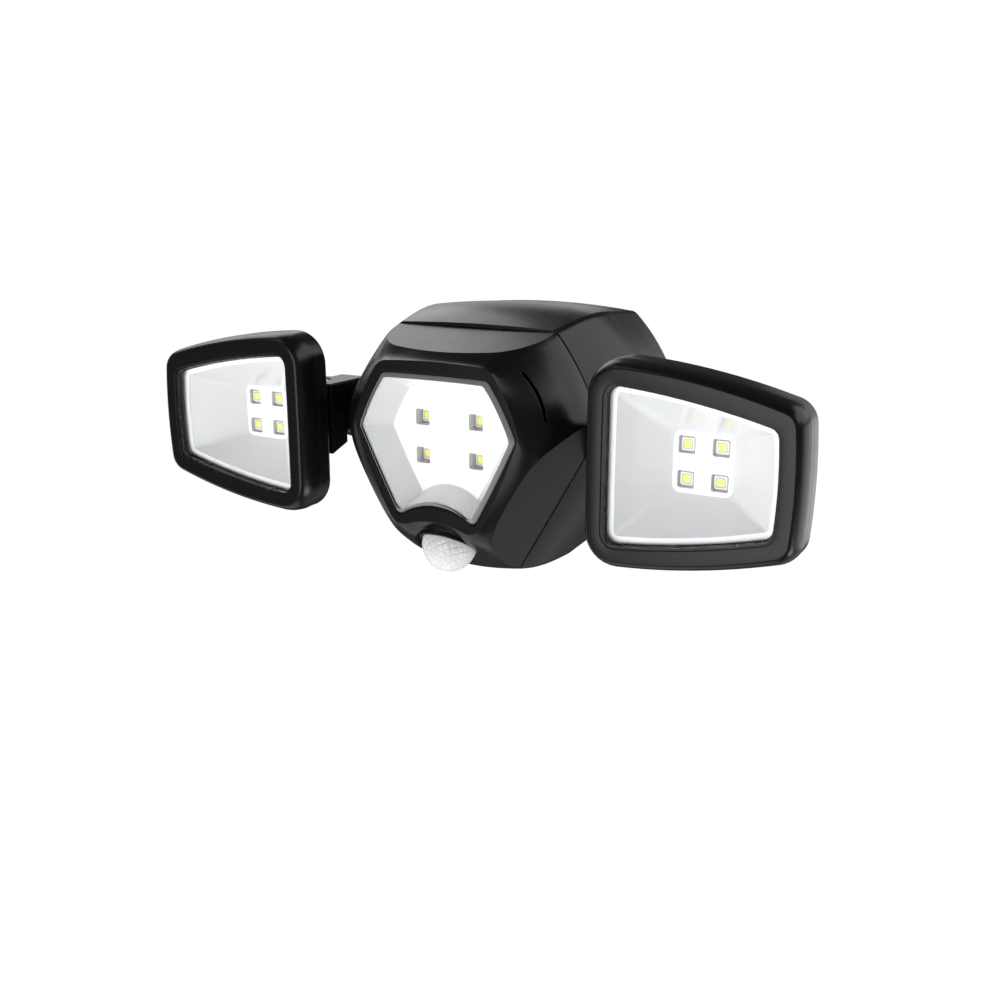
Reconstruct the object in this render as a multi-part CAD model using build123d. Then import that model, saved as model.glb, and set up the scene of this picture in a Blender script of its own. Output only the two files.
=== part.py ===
from build123d import *
import math
import os

os.makedirs("parts", exist_ok=True)

# A wall light with a motion sensor: a six-sided body with a fixed centre lamp, and two lamp heads on arms.
# The origin lies on the wall face at the height of the heads' centres. X points to the right as seen from
# the front, -Y towards the viewer and +Z up. A depth is a distance in front of the wall, so y = -depth.
# The right side is modelled, and the left side is its mirror image. All sizes are in millimetres.

# ---------------------------------------------------------------- fits
face_gap = 0.1          # between faces of fixed pieces that lie side by side
slip = 0.25             # round a loose piece in its seat
running = 0.05          # radial play of a shaft in its bearing
screw_play = 0.05       # radial play of a screw in its hole
over = 1.0              # how far a cut or a joined end runs past a face
through = 60.0          # length of bores that pass right through

# ---------------------------------------------------------------- body
wall = 2.4              # moulded wall of the body shells
bracket_top = 8.0       # depth of the wall bracket's rim
cover_seam = 26.0       # depth where the rear cover meets the housing
front_seam = 68.0       # depth where the housing meets the front cover
crest = 103.0           # depth of the front ring round the centre lamp
side_z = 5.5            # height of the widest corners
side_half = 61.5        # half width at the front seam
top_half = 39.9         # half width of the top edge at the front seam
top_z = 46.4            # top edge at the front seam
foot_half = 23.0        # half width of the bottom edge at the front seam
foot_z = -61.5          # bottom edge at the front seam
slit_long = 22.4        # slits in the upper sides of the front cover
slit_wide = 1.6
slit_bow = 1.5          # of a slit's middle away from the window
slit_place = (side_half - 18.5, -92.4, 22.8)    # middle of the right slit
slit_run = (10.4, 0.0, -19.8)       # the direction in which it runs
slit_facing = (19.8, -18.0, 10.4)   # the direction in which it opens
slit_reach = 4.0        # of the cut to both sides of the skin
corner_radius = 5.0     # of the body's long corners
least_radius = 0.6      # of any outline's corners
seam_reveal = 1.0       # width and depth of the groove at the front seam
body_margin = 10.0      # by which cutting frames are larger than the body
seal_inset = 0.8        # of the rear seal from the outside
seal_wide = 0.9
seal_deep = 1.4
seal_play = 0.05        # of the rear seal in its groove
notch_near = 17.0       # notches in the bracket's top edge, from the middle
notch_far = 40.0
notch_deep = 1.6

def section(depth, side, top_side, top, foot_side, foot, bows, radii, rise=0.0):
    """A cross-section of the body, given as growth over the front seam's outline, with the outward bows
    of its top, upper sides, lower sides and bottom, the radii of its top, side and bottom corners and the
    rise of its widest corners."""
    return {
        "depth": depth,
        "top_half": top_half + top_side,
        "top_z": top_z + top,
        "side_half": side_half + side,
        "side_z": side_z + rise,
        "foot_half": foot_half + foot_side,
        "foot_z": foot_z - foot,
        "bows": bows,
        "radii": radii,
    }


rear_radii = (corner_radius, corner_radius, corner_radius)
seam_row = section(front_seam, 0.0, 0.0, 0.0, 0.0, 0.0, (1.0, 2.5, 0.3, 2.0), rear_radii)
# From the front seam towards the wall.
swell_row = section(front_seam - 12, 4.5, 1.9, 2.3, 2.0, 2.5, (2.2, 2.5, 0.5, 2.0), rear_radii)
belly_row = section(front_seam - 27, 7.5, 4.0, 4.5, 3.0, 4.0, (2.7, 2.8, 0.5, 2.0), rear_radii)
cover_row = section(cover_seam, 9.0, 5.1, 4.6, 3.5, 4.5, (3.0, 3.2, 0.5, 2.0), rear_radii)
rim_row = section(bracket_top, 9.5, 6.0, 3.4, 3.5, 3.2, (3.0, 3.8, 0.5, 2.0), rear_radii)
wall_row = section(0.0, 9.5, 6.3, 3.0, 3.5, 2.8, (3.0, 3.8, 0.5, 2.0), rear_radii)
# From the front seam towards the front ring, with rounder and rounder corners.
brow_row = section(front_seam + 8, 1.3, -2.8, -0.1, -0.3, -3.2, (1.2, 2.1, 3.6, 2.2), (14.0, 7.7, 10.8), -0.2)
cheek_row = section(
    front_seam + 18, -3.8, -8.9, -1.6, 2.4, -9.0, (1.4, 2.3, 1.4, 0.6), (18.0, 13.0, 15.0), 2.3
)
lip_row = section(
    front_seam + 28, -11.6, -11.5, -9.5, -2.8, -13.8, (2.8, 2.6, 4.6, -5.2), (17.7, 19.4, 13.0), -0.6
)
crest_row = section(crest, -20.8, -12.8, -12.5, -3.4, -22.5, (1.0, 1.6, 1.6, -4.8), (8.0, 8.0, 7.0), 0.5)

# The front cover has flat facets on top and on its lower sides.
top_facet_lean = 14.0   # degrees
side_facet_lean = 16.0
facet_drop = 0.6        # of the top facet below the top edge at the seam
scoop_radius = 17.7     # of the arched hollow under the front ring, in which the sensor sits
scoop_centre = -4.5     # of the arch, up from the sensor's axis
scoop_lean = 8.2        # degrees between the hollow's floor and the sensor's rim
scoop_floor = -2.1      # of the floor at the sensor's axis, outward from the sensor's rim
scoop_back = 30.0       # how far the slot starts behind the sensor's rim
scoop_long = 90.0
scoop_tail = 70.0       # length of the slot towards the front seam

# ---------------------------------------------------------------- centre lamp
window_top_half = 26.0
window_top_z = 28.7
window_side_half = 39.2
window_side_z = 4.7
window_foot_half = 19.1
window_foot_z = -33.9
window_foot_rise = 6.5  # the bottom edge arches over the sensor
window_radius = 3.0
window_bows = (0.4, 0.8, 0.4, -window_foot_rise, 0.4, 0.8)
front_inner = 99.1      # depth of the seat of the centre lens' gasket
window_flare = 0.3      # how much the window widens to the front
window_step = 0.6       # width of the step round the window
window_step_deep = 0.6
lens_overlap = 2.0      # of the lens behind the front ring
lens_thick = 2.0        # of the lens behind the front ring
lens_face = 103.6       # depth of the face that the lens raises through the window
lens_face_thick = 2.0
lens_play = 0.15        # round the raised part in the window
lens_side = 1.0         # wall round the raised part
lens_bevel = 1.9        # inset of the face from the window
lens_bevel_deep = 1.6
gasket_thick = 0.8
ring_width = 2.0        # white rim of a head's reflector seen through its lens
centre_mouth = 2.4      # inset of the centre reflector's mouth from the window
centre_mouth_wall = 1.1
reflector_wall = 1.2
centre_floor = 90.0     # depth of the centre reflector's floor
centre_floor_shrink = 0.80
led_pitch_x = 27.0
led_pitch_z = 16.94
led_top = 86.0          # depth of the centre LEDs' faces
led_width = 5.2
led_high = 1.5
die_width = 3.3
die_deep = 0.4
die_low = 0.05          # of the die below the LED's face
led_window = 7.1
led_frame = 0.8         # wall of the shaft round an LED
led_edge = 0.5          # the shafts start this far below the floor
board_thick = 1.6
board_inset = 2.0       # of the board behind the reflector's floor
seat_clear = 0.3        # behind the reflector's rim in its seat

# ---------------------------------------------------------------- motion sensor
sensor_z = -47.0
sensor_depth = 91.0
sensor_radius = 12.2    # of the dome
sensor_tilt = 56.0      # degrees below the horizontal
dome_wall = 0.9
dome_flange = 0.8       # radial width of the flange behind the lip
dome_flange_thick = 1.2
collar_radius = 13.9    # of the collar that holds the dome
collar_proud = 0.5      # of the collar's rim in front of the dome's
collar_foot_radius = 14.9
collar_foot = 0.2       # of the collar's foot above the hollow's floor
collar_deep = 8.0       # of the collar's root behind the dome's rim
retainer_thick = 2.0
retainer_inner = 9.7    # radius
can_radius = 4.1        # of the sensor element
can_high = 4.2
can_flange_radius = 4.6
can_flange_thick = 0.5
can_window = (4.0, 3.0)
can_window_deep = 0.4

# ---------------------------------------------------------------- batteries
cell_radius = 17.1
cell_long = 61.5
cell_gap = 0.6
upper_cell_z = 20.5
cell_front = 74.5       # depth of the cells' front ends
cell_button_radius = 4.8
cell_button_high = 1.6
cell_edge = 1.0
saddle_wall = 1.8
saddle_long = 14.0      # how far a saddle reaches along its cell
tray_gap = 1.2          # between the cells and the tray's end plate
tray_thick = 3.3
wing_into = 0.4         # of the tray's wings into the housing's wall
wing_back = 61.0
wing_thick = 2.0
wing_below = 8.0        # of the upper cells' axis
wing_above = 4.0
peg_radius = 2.0        # four pegs between the tray and the control board
peg_pitch_x = 20.0
peg_pitch_z = 12.0
peg_high = 1.1
contact_half = 6.0
contact_thick = 0.6
spring_base_radius = 7.0
spring_base_thick = 0.6
spring_low_radius = 6.0
spring_high_radius = 3.5
spring_wall = 1.0

# ---------------------------------------------------------------- control board
control_half = 28.0
control_foot = -40.0
control_top = -2.0
chip_box = (-12.0, -4.0, -34.0, -28.0)    # from, to along X and from, to along Z
chip_high = 1.6
relay_box = (4.0, 16.0, -37.0, -27.0)
relay_high = 5.0

# ---------------------------------------------------------------- lamp heads
# The heads, arms and hubs stand where the body's widest corners put them.
head_centre = side_half + 49.5  # middle of the LED square
head_inner = side_half + 8.0    # edge next to the body
head_outer = side_half + 93.5   # far edge
head_inner_half = 42.3  # half height at the inner edge
head_outer_half = 28.5  # half height at the outer edge
head_inner_radius = 15.0
head_outer_radius = 10.0
head_bows = (3.3, 1.5, 3.3, 0.3)    # top, far side, bottom and inner side, outward
head_front = 104.0      # depth of the bezel's face
head_seam = 92.6        # where the bezel meets the rear shell
head_back = 84.5        # flat back of the head
head_edge_round = 5.5
head_back_round = 2.5
head_wall = 2.2
pane_inner = side_half + 18.5   # window of the head
pane_outer = side_half + 83.5
pane_inner_half = 31.0
pane_outer_half = 19.7
pane_radius = 4.0
pane_bows = (1.7, 0.9, 1.7, 0.2)
pane_lip = 3.4          # bezel thickness over the lens
pane_step = 1.8         # width of the sloped step round the window
pane_ledge = 1.0        # width of the ledge in front of it
gasket_show = 0.3       # of the gasket round the window
head_lens_thick = 1.6
head_gasket_thick = 0.6
head_lens_overlap = 1.6
head_floor = 80.4       # depth of the white LED field
head_floor_width = 25.0
head_floor_thick = 2.6
floor_bows = (0.05, 0.05, 0.05, 0.05)
head_led_pitch = 14.0
head_led_top = 79.1
pod_back = 72.0         # back of the pod behind the LED board
pod_inner = side_half + 27.0
pod_outer = side_half + 74.1
pod_half = 22.3
pod_slant = 7.5         # of the pod's inner side, clear of the arm
pod_draft = 2.5         # of its other sides
pod_wall = 2.0
pod_radius = 4.0
pod_bows = (0.2, 0.2, 0.2, 0.2)
tongue_high = 1.4       # of the shell's rim inside the bezel
tongue_wall = 1.2
window_straight = 0.6   # depth of the bezel's opening in front of its slope
head_gasket_mouth = 0.4
head_bowl_radius = 3.5  # corners of the LED field
head_board_in = 13.5    # board edges from the LEDs' middle, towards the body
head_board_out = 17.0   # and away from it
head_board_half = 16.5
head_board_radius = 2.0
peg_x = 25.0            # spacing of the pegs under the board
peg_z = 28.0
peg_shift = 2.0
head_peg_radius = 1.8
head_post_radius = 2.8

# ---------------------------------------------------------------- arms
arm_inner = side_half + 8.8     # face next to the body
arm_top = 17.0
arm_foot = -16.0
arm_front = 82.0        # depth of the arm's front face
arm_back = 53.0         # depth of the arm's rear face
arm_edge = 0.8
arm_tail = 2.5          # of the arm's rear past the pan axis
arm_slope = (20.0, 55.0)    # rise and run of the arm's sloped underside
pan_x = side_half + 22.0        # axis on which a head pans
pan_depth = 71.5
pan_pin_radius = 2.0
lug_radius = 6.0        # of the head's lug between the arm's cheeks
lug_top = 8.5
lug_foot = -7.5
cheek_gap = 0.5         # holds a washer on each side of the lug
lug_room = 0.5          # round the lug in the arm
pin_recess = 1.6        # hides the ends of the pan pin
pin_head_radius = 3.8
pin_head_high = 1.2
pin_head_round = 0.8
pin_head_room = 0.4
lug_gate = 25.0         # how far the opening for the lug runs to the front
pan_in = 8.0            # degrees a head turns towards the body
tilt_depth = 61.0       # axis on which an arm tilts
tilt_z = -2.0
hub_radius = 9.2
hub_end = side_half + 12.7
hub_inner_end = side_half - 11.5
hub_clear = 0.4         # between the hub and the front cover
pocket_gap = 0.5        # round the hub in the arm's pocket
swivel_washer_thick = 0.7
spigot_radius = 5.0
spigot_end = side_half - 16.5
swivel_cap_radius = 8.0
swivel_cap_thick = 1.6
spring_turn = 0.7       # thickness of the wave spring's turns
spring_bridge = 1.2
spring_shift = 1.4      # of the bridges from the spigot
swivel_screw_long = 9.0
swivel_bore = 10.0

# ---------------------------------------------------------------- fixings
screw_radius = 1.5
screw_head_radius = 2.6
screw_head_high = 1.8
boss_radius = 3.2
screw_slot_half = 0.4
screw_slot_deep = 0.8
screw_slot_reach = 2.0
screw_head_edge = 0.5
front_screw_long = 20.0
front_post_back = 8.0   # housing posts start this far behind the front seam
front_post_start = 2.0  # front cover posts start this far in front of it
front_post_long = 16.0
front_hole_long = 14.0
rear_post_long = 14.0
rear_hole_long = 12.0
rear_counterbore = 2.6  # from the bracket's rim to the screw heads' seats
rear_screw_tip = 9.0    # in front of the rear seam
web_half = 1.2          # half thickness of the webs that carry the posts
front_web = 14.0        # length of a web towards the wall
rear_web = 16.0
head_screw_long = 12.0
wall_hole_radius = 2.25
wall_hole_x = 50.0      # spacing of the four wall screw holes
wall_hole_z = 40.0

# ---------------------------------------------------------------- mode switch
switch_depth = 46.0
switch_travel = 3.0     # to each side of the middle
knob_wide = 5.0
knob_deep = 4.0
knob_proud = 1.4
knob_root = 0.7         # of the knob inside the housing's wall
knob_round = 0.6
knob_room = 0.5         # past the knob at both ends of its travel
switch_half = 8.0
switch_deep = 4.0
switch_foot = 1.0       # of the switch above the housing's wall
switch_high = 5.5


def at(depth, x=0.0, z=0.0):
    """The plane at a depth: its own x is X, its own y is Z, and its normal points to the front."""
    return Plane(origin=(x, -depth, z), x_dir=(1, 0, 0), z_dir=(0, -1, 0))


def across(x, depth, z):
    """The plane across X at a place: its normal points to the right."""
    return Plane(origin=(x, -depth, z), x_dir=(0, 1, 0), z_dir=(1, 0, 0))


def disc(plane, radius, length):
    """A round bar from a plane along its normal, or against it where the length is negative."""
    return extrude(plane * Circle(radius), length)


def tilt_bar(x, radius, length):
    """A round bar along the tilt axis."""
    return disc(across(x, tilt_depth, tilt_z), radius, length)


def pan_bar(z, radius, length):
    """A round bar along the pan axis, upward."""
    return disc(Plane(origin=(pan_x, -pan_depth, z)), radius, length)


def ring(plane, outer, inner, length):
    return disc(plane, outer, length) - disc(plane, inner, length)


def block(x0, x1, depth0, depth1, z0, z1):
    """A box between two places along each axis, with depths for Y."""
    size = (x1 - x0, depth1 - depth0, z1 - z0)
    middle = ((x0 + x1) / 2, -(depth0 + depth1) / 2, (z0 + z1) / 2)
    return Pos(*middle) * Box(*size)


def shifted(points, inset):
    """The corners of a closed outline, run clockwise, with every side moved inward by the inset."""
    count = len(points)
    moved = []
    for k in range(count):
        before = Vector(*points[k - 1])
        here = Vector(*points[k])
        after = Vector(*points[(k + 1) % count])
        run_in = (here - before).normalized()
        run_out = (after - here).normalized()
        normal_in = Vector(run_in.Y, -run_in.X)
        normal_out = Vector(run_out.Y, -run_out.X)
        share = inset / (1 + normal_in.dot(normal_out))
        spot = here + (normal_in + normal_out) * share
        moved.append((spot.X, spot.Y))
    return moved


def outline(points, bows, radii, inset=0.0):
    """A face with bowed sides and rounded corners. Points run clockwise, bows are outward."""
    corners = shifted(points, inset)
    count = len(corners)
    edges = []
    for k in range(count):
        start = Vector(*corners[k])
        end = Vector(*corners[(k + 1) % count])
        run = (end - start).normalized()
        outward = Vector(-run.Y, run.X)
        edges.append(Edge.make_three_point_arc(start, (start + end) / 2 + outward * bows[k], end))
    face = Face(Wire(edges))
    for corner, radius in zip(corners, radii):
        vertex = face.vertices().sort_by_distance(Vector(*corner))[0]
        face = face.fillet_2d(max(radius - inset, least_radius), [vertex])
    return -face if face.normal_at().Z < 0 else face


def body_face(row, inset=0.0):
    corners = [
        (-row["top_half"], row["top_z"]),
        (row["top_half"], row["top_z"]),
        (row["side_half"], row["side_z"]),
        (row["foot_half"], row["foot_z"]),
        (-row["foot_half"], row["foot_z"]),
        (-row["side_half"], row["side_z"]),
    ]
    top, upper, lower, foot = row["bows"]
    bows = (top, upper, lower, foot, lower, upper)
    top_radius, side_radius, foot_radius = row["radii"]
    radii = (top_radius, top_radius, side_radius, foot_radius, foot_radius, side_radius)
    return at(row["depth"]) * outline(corners, bows, radii, inset)


def body_solid(rows, inset=0.0):
    return loft([body_face(row, inset) for row in rows])


def reach(row, depth):
    """The same section put at another depth, for the ends of hollows."""
    return {**row, "depth": depth}


def window_corners():
    return [
        (-window_top_half, window_top_z),
        (window_top_half, window_top_z),
        (window_side_half, window_side_z),
        (window_foot_half, window_foot_z),
        (-window_foot_half, window_foot_z),
        (-window_side_half, window_side_z),
    ]


def window_face(depth, inset=0.0, shrink=1.0):
    """The outline of the centre window, or of a smaller one of the same form."""
    corners = [(x * shrink, z * shrink) for x, z in shifted(window_corners(), inset)]
    bows = [bow * shrink for bow in window_bows]
    return at(depth) * outline(corners, bows, [window_radius] * 6)


def head_face(depth, inset=0.0):
    corners = [
        (head_inner, head_inner_half),
        (head_outer, head_outer_half),
        (head_outer, -head_outer_half),
        (head_inner, -head_inner_half),
    ]
    radii = [head_inner_radius, head_outer_radius, head_outer_radius, head_inner_radius]
    return at(depth) * outline(corners, head_bows, radii, inset)


def pane_face(depth, inset=0.0):
    corners = [
        (pane_inner, pane_inner_half),
        (pane_outer, pane_outer_half),
        (pane_outer, -pane_outer_half),
        (pane_inner, -pane_inner_half),
    ]
    return at(depth) * outline(corners, pane_bows, [pane_radius] * 4, inset)


def floor_face(depth, width, radius):
    """The square LED field of a head, with its corners run as the head's outline has them."""
    half = width / 2
    corners = [
        (head_centre - half, half),
        (head_centre + half, half),
        (head_centre + half, -half),
        (head_centre - half, -half),
    ]
    return at(depth) * outline(corners, floor_bows, [radius] * 4)


def at_corners(pitch_x, pitch_z, x=0.0):
    """The four places of a rectangle round a point."""
    return [(x + i * pitch_x / 2, j * pitch_z / 2) for i in (-1, 1) for j in (-1, 1)]


def screw(x, z, head_depth, tip_depth):
    """A pan head screw that points to the front, with its head's underside at head_depth."""
    shank = disc(at(head_depth, x, z), screw_radius, tip_depth - head_depth)
    cap = disc(at(head_depth, x, z), screw_head_radius, -screw_head_high)
    cap = chamfer(cap.edges().group_by(Axis.Y)[-1], screw_head_edge)
    face = head_depth - screw_head_high
    slot = block(x - screw_slot_half, x + screw_slot_half, face - over, face + screw_slot_deep,
                 z - screw_slot_reach, z + screw_slot_reach)
    return cap + shank - slot


# ---------------------------------------------------------------- places worked out from the sizes above
centre_lens_front = front_inner - gasket_thick
centre_lens_back = centre_lens_front - lens_thick
centre_rim_back = centre_lens_back - reflector_wall
centre_mouth_front = lens_face - lens_face_thick - face_gap
centre_board_front = led_top - led_high
centre_board_back = centre_board_front - board_thick
cell_back = cell_front - cell_long
cell_x = cell_radius + cell_gap
cell_places = [
    (-cell_x, upper_cell_z),
    (cell_x, upper_cell_z),
    (0.0, upper_cell_z - math.sqrt((2 * cell_radius + cell_gap) ** 2 - cell_x**2)),
]
upper_side_share = (upper_cell_z - side_z) / (top_z - side_z)
wing_tip = side_half - (side_half - top_half) * upper_side_share + wing_into
tray_back = cell_front + tray_gap
tray_front = tray_back + tray_thick
control_back = tray_front + peg_high + face_gap
rear_plate_front = bracket_top + wall
pane_back = head_front - pane_lip
head_lens_front = pane_back - head_gasket_thick
head_lens_back = head_lens_front - head_lens_thick
head_rim_back = head_lens_back - reflector_wall
head_board_front = head_led_top - led_high
head_board_back = head_board_front - board_thick
head_screw_near = head_inner + 5.7
head_screw_far = head_outer - 5.2
head_screw_places = [
    (head_screw_near, 30.0),
    (head_screw_near, -30.0),
    (head_screw_far, 19.5),
    (head_screw_far, -19.5),
]
front_screw_low = side_half - 21.5
front_screw_places = [
    (-36.0, 36.0),
    (36.0, 36.0),
    (-front_screw_low, -12.0),
    (front_screw_low, -12.0),
]
rear_screw_top = side_half - 11.5
rear_screw_places = [(-rear_screw_top, 27.0), (rear_screw_top, 27.0), (-29.0, -42.0), (29.0, -42.0)]
switch_floor = belly_row["foot_z"] - belly_row["bows"][3]
retainer_back = -dome_flange_thick - face_gap - retainer_thick
dome_axis = Vector(0, -math.cos(math.radians(sensor_tilt)), -math.sin(math.radians(sensor_tilt)))


def dome_plane(along=0.0):
    """The plane across the sensor's axis, at a distance outward from the dome's rim."""
    origin = Vector(0, -sensor_depth, sensor_z) + dome_axis * along
    return Plane(origin=origin, x_dir=(1, 0, 0), z_dir=dome_axis)


# ---------------------------------------------------------------- front cover and what it holds
front_rows = [seam_row, brow_row, cheek_row, lip_row, crest_row]


def facet_planes(inward=0.0):
    """The flat facets of the front cover: the top one and the two lower ones."""
    lean = math.radians(top_facet_lean)
    top_normal = Vector(0, -math.sin(lean), math.cos(lean))
    top_point = Vector(0, -front_seam, top_z - facet_drop) - top_normal * inward
    planes = [Plane(origin=top_point, z_dir=top_normal)]
    run = Vector(side_half - foot_half, 0, side_z - foot_z).normalized()
    lean = math.radians(side_facet_lean)
    for sign in (-1, 1):
        outward = Vector(sign * run.Z, 0, -run.X)
        normal = outward * math.cos(lean) + Vector(0, -math.sin(lean), 0)
        middle = Vector(sign * (side_half + foot_half) / 2, -front_seam, (side_z + foot_z) / 2)
        planes.append(Plane(origin=middle - normal * inward, z_dir=normal))
    return planes


def cut_facets(solid, inward=0.0):
    for plane in facet_planes(inward):
        solid = split(solid, bisect_by=plane, keep=Keep.BOTTOM)
    return solid


def scoop(grow=0.0):
    """The arched hollow under the front ring: a round-ended slot along the sensor's axis, above a floor that
    leans towards the front seam."""
    radius = scoop_radius + grow
    tail = Pos(0, scoop_centre - scoop_tail / 2) * Rectangle(2 * radius, scoop_tail)
    profile = Pos(0, scoop_centre) * Circle(radius) + tail
    slot = extrude(dome_plane(-scoop_back) * profile, scoop_long)
    floor_plane = dome_plane(scoop_floor - grow).rotated((-scoop_lean, 0, 0))
    return split(slot, bisect_by=floor_plane, keep=Keep.TOP)


def make_slit():
    """The cut for the right slit in the front cover's upper side."""
    plane = Plane(origin=slit_place, x_dir=slit_run, z_dir=slit_facing)
    half = (slit_long - slit_wide) / 2
    line = ThreePointArc((-half, -slit_bow / 2), (0, slit_bow / 2), (half, -slit_bow / 2))
    return extrude(plane * SlotArc(line, slit_wide), slit_reach, both=True)


def make_collar():
    """The stepped collar round the dome, before it is bored."""
    root = dome_plane(-collar_deep)
    collar = disc(root, collar_radius, collar_deep + collar_proud)
    return collar + disc(root, collar_foot_radius, collar_deep + scoop_floor + collar_foot)


def make_front_cover():
    outer = cut_facets(body_solid(front_rows))
    hollow_rows = [reach(seam_row, front_seam - over)] + front_rows[1:4] + [reach(crest_row, front_inner)]
    hollow = cut_facets(body_solid(hollow_rows, wall), wall) - scoop(wall)
    cover = outer - hollow - scoop() + make_collar()
    bore = dome_plane(-scoop_back)
    cover -= disc(bore, sensor_radius + slip, 2 * scoop_back)
    cover -= disc(bore, sensor_radius + dome_flange + slip, scoop_back)
    step = crest - window_step_deep
    cover -= loft([window_face(front_inner - over), window_face(step, -window_flare)])
    cover -= extrude(window_face(step, -window_flare - window_step), window_step_deep + over)
    seat_back = centre_rim_back - seat_clear
    cover -= extrude(window_face(seat_back, -lens_overlap - slip), front_inner - seat_back)
    groove_back = reach(seam_row, front_seam - over)
    groove = extrude(body_face(groove_back, -body_margin), over + seam_reveal)
    groove -= extrude(body_face(groove_back, seam_reveal), 2 * over + seam_reveal)
    cover -= groove
    for x, z in front_screw_places:
        post = disc(at(front_seam + front_post_start, x, z), boss_radius, front_post_long)
        cover += post & outer
        cover -= disc(at(front_seam + over, x, z), screw_radius + screw_play, front_hole_long)
    slit = make_slit()
    return cover - slit - mirror(slit, about=Plane.YZ)


def make_centre_gasket():
    sheet = extrude(window_face(centre_lens_front, -lens_overlap), gasket_thick - face_gap)
    hole = window_face(centre_lens_front - over, lens_play - face_gap)
    return sheet - extrude(hole, gasket_thick + 2 * over)


def make_centre_lens():
    """The clear lens: a rim behind the front ring and a hollow raised part that fills the window."""
    back = centre_lens_back + face_gap
    shoulder = lens_face - lens_bevel_deep
    rim = extrude(window_face(back, -lens_overlap), lens_thick - face_gap)
    raised = extrude(window_face(back, lens_play), shoulder - back)
    raised += loft([window_face(shoulder, lens_play), window_face(lens_face, lens_bevel)])
    hollow_long = lens_face - lens_face_thick - back + over
    return rim + raised - extrude(window_face(back - over, lens_play + lens_side), hollow_long)


def make_centre_reflector():
    rim = extrude(window_face(centre_rim_back, -lens_overlap), reflector_wall)
    outside = centre_mouth - centre_mouth_wall
    bowl = loft([
        window_face(centre_mouth_front, outside),
        window_face(centre_floor - reflector_wall, outside, centre_floor_shrink),
    ])
    hollow = loft([
        window_face(centre_mouth_front, centre_mouth),
        window_face(centre_floor, centre_mouth, centre_floor_shrink),
    ])
    body = rim + bowl - hollow
    half = led_window / 2
    shaft = half + led_frame
    foot = centre_board_front + face_gap
    for x, z in at_corners(led_pitch_x, led_pitch_z):
        body += block(x - shaft, x + shaft, foot, centre_floor - led_edge, z - shaft, z + shaft)
        body -= block(x - half, x + half, foot - over, centre_floor + over, z - half, z + half)
    return body


def make_led(x, z, top):
    half = led_width / 2
    well = die_width / 2
    body = block(x - half, x + half, top - led_high, top, z - half, z + half)
    return body - block(x - well, x + well, top - die_deep, top + over, z - well, z + well)


def make_die(x, z, top):
    half = die_width / 2
    return block(x - half, x + half, top - die_deep, top - die_low, z - half, z + half)


def make_centre_board():
    inset = centre_mouth + board_inset
    return extrude(window_face(centre_board_back, inset, centre_floor_shrink), board_thick)


def make_sensor_dome():
    ball = disc(dome_plane(), sensor_radius, sensor_radius + over)
    ball = (Pos(0, -sensor_depth, sensor_z) * Sphere(sensor_radius)) & ball
    inner = Pos(0, -sensor_depth, sensor_z) * Sphere(sensor_radius - dome_wall)
    flange = disc(dome_plane(-face_gap), sensor_radius + dome_flange, -(dome_flange_thick - face_gap))
    flange += disc(dome_plane(-face_gap), sensor_radius, face_gap)
    bore = disc(dome_plane(), sensor_radius - dome_wall, -dome_flange_thick - over)
    return ball + flange - inner - bore


def make_sensor_retainer():
    top = dome_plane(-dome_flange_thick - face_gap)
    return ring(top, sensor_radius + dome_flange, retainer_inner, -retainer_thick)


def make_sensor_board():
    return disc(dome_plane(retainer_back - face_gap), sensor_radius + dome_flange, -board_thick)


def make_sensor_can():
    base = retainer_back - face_gap
    can = disc(dome_plane(base), can_flange_radius, can_flange_thick)
    can += disc(dome_plane(base), can_radius, can_high)
    glass = dome_plane(base + can_high - can_window_deep) * Rectangle(*can_window)
    return can - extrude(glass, over)


# ---------------------------------------------------------------- housing and what it holds
def make_hub():
    """The tube that carries an arm, cut clear of the front cover."""
    tube = disc(across(hub_inner_end, tilt_depth, tilt_z), hub_radius, hub_end - hub_inner_end)
    return tube - extrude(body_face(reach(seam_row, front_seam - face_gap), -hub_clear), hub_radius)


def make_web(x, z, length, depth0, depth1):
    """A web that joins a screw post to the side wall."""
    far = x + math.copysign(length, x)
    return block(min(x, far), max(x, far), depth0, depth1, z - web_half, z + web_half)


def make_housing():
    rows = [seam_row, swell_row, belly_row, cover_row]
    limit = body_solid(rows)
    front_end = reach(seam_row, front_seam + over)
    hollow_rows = [front_end, swell_row, belly_row, reach(cover_row, cover_seam - over)]
    hub = make_hub()
    bore = tilt_bar(hub_inner_end - over, spigot_radius + running, through)
    shell = limit - body_solid(hollow_rows, wall) + hub + mirror(hub, about=Plane.YZ)
    shell = shell - bore - mirror(bore, about=Plane.YZ)
    back = front_seam - front_post_back
    for x, z in front_screw_places:
        post = disc(at(back, x, z), boss_radius, front_post_back)
        web = make_web(x, z, front_web, back, front_seam - face_gap)
        shell += (post + web) & limit
        shell -= disc(at(back - over, x, z), screw_radius + screw_play, front_hole_long)
    back = cover_seam + face_gap
    for x, z in rear_screw_places:
        post = disc(at(back, x, z), boss_radius, rear_post_long)
        web = make_web(x, z, rear_web, back, back + rear_post_long)
        shell += (post + web) & limit
        shell -= disc(at(cover_seam - over, x, z), screw_radius + screw_play, rear_hole_long)
    half = switch_travel + knob_wide / 2 + knob_room
    deep = knob_deep / 2 + knob_room
    return shell - block(-half, half, switch_depth - deep, switch_depth + deep,
                         switch_floor - wall, switch_floor + 2 * wall)


def make_switch_body():
    foot = switch_floor + wall + switch_foot
    return block(-switch_half, switch_half, switch_depth - switch_deep, switch_depth + switch_deep,
                 foot, foot + switch_high)


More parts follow.
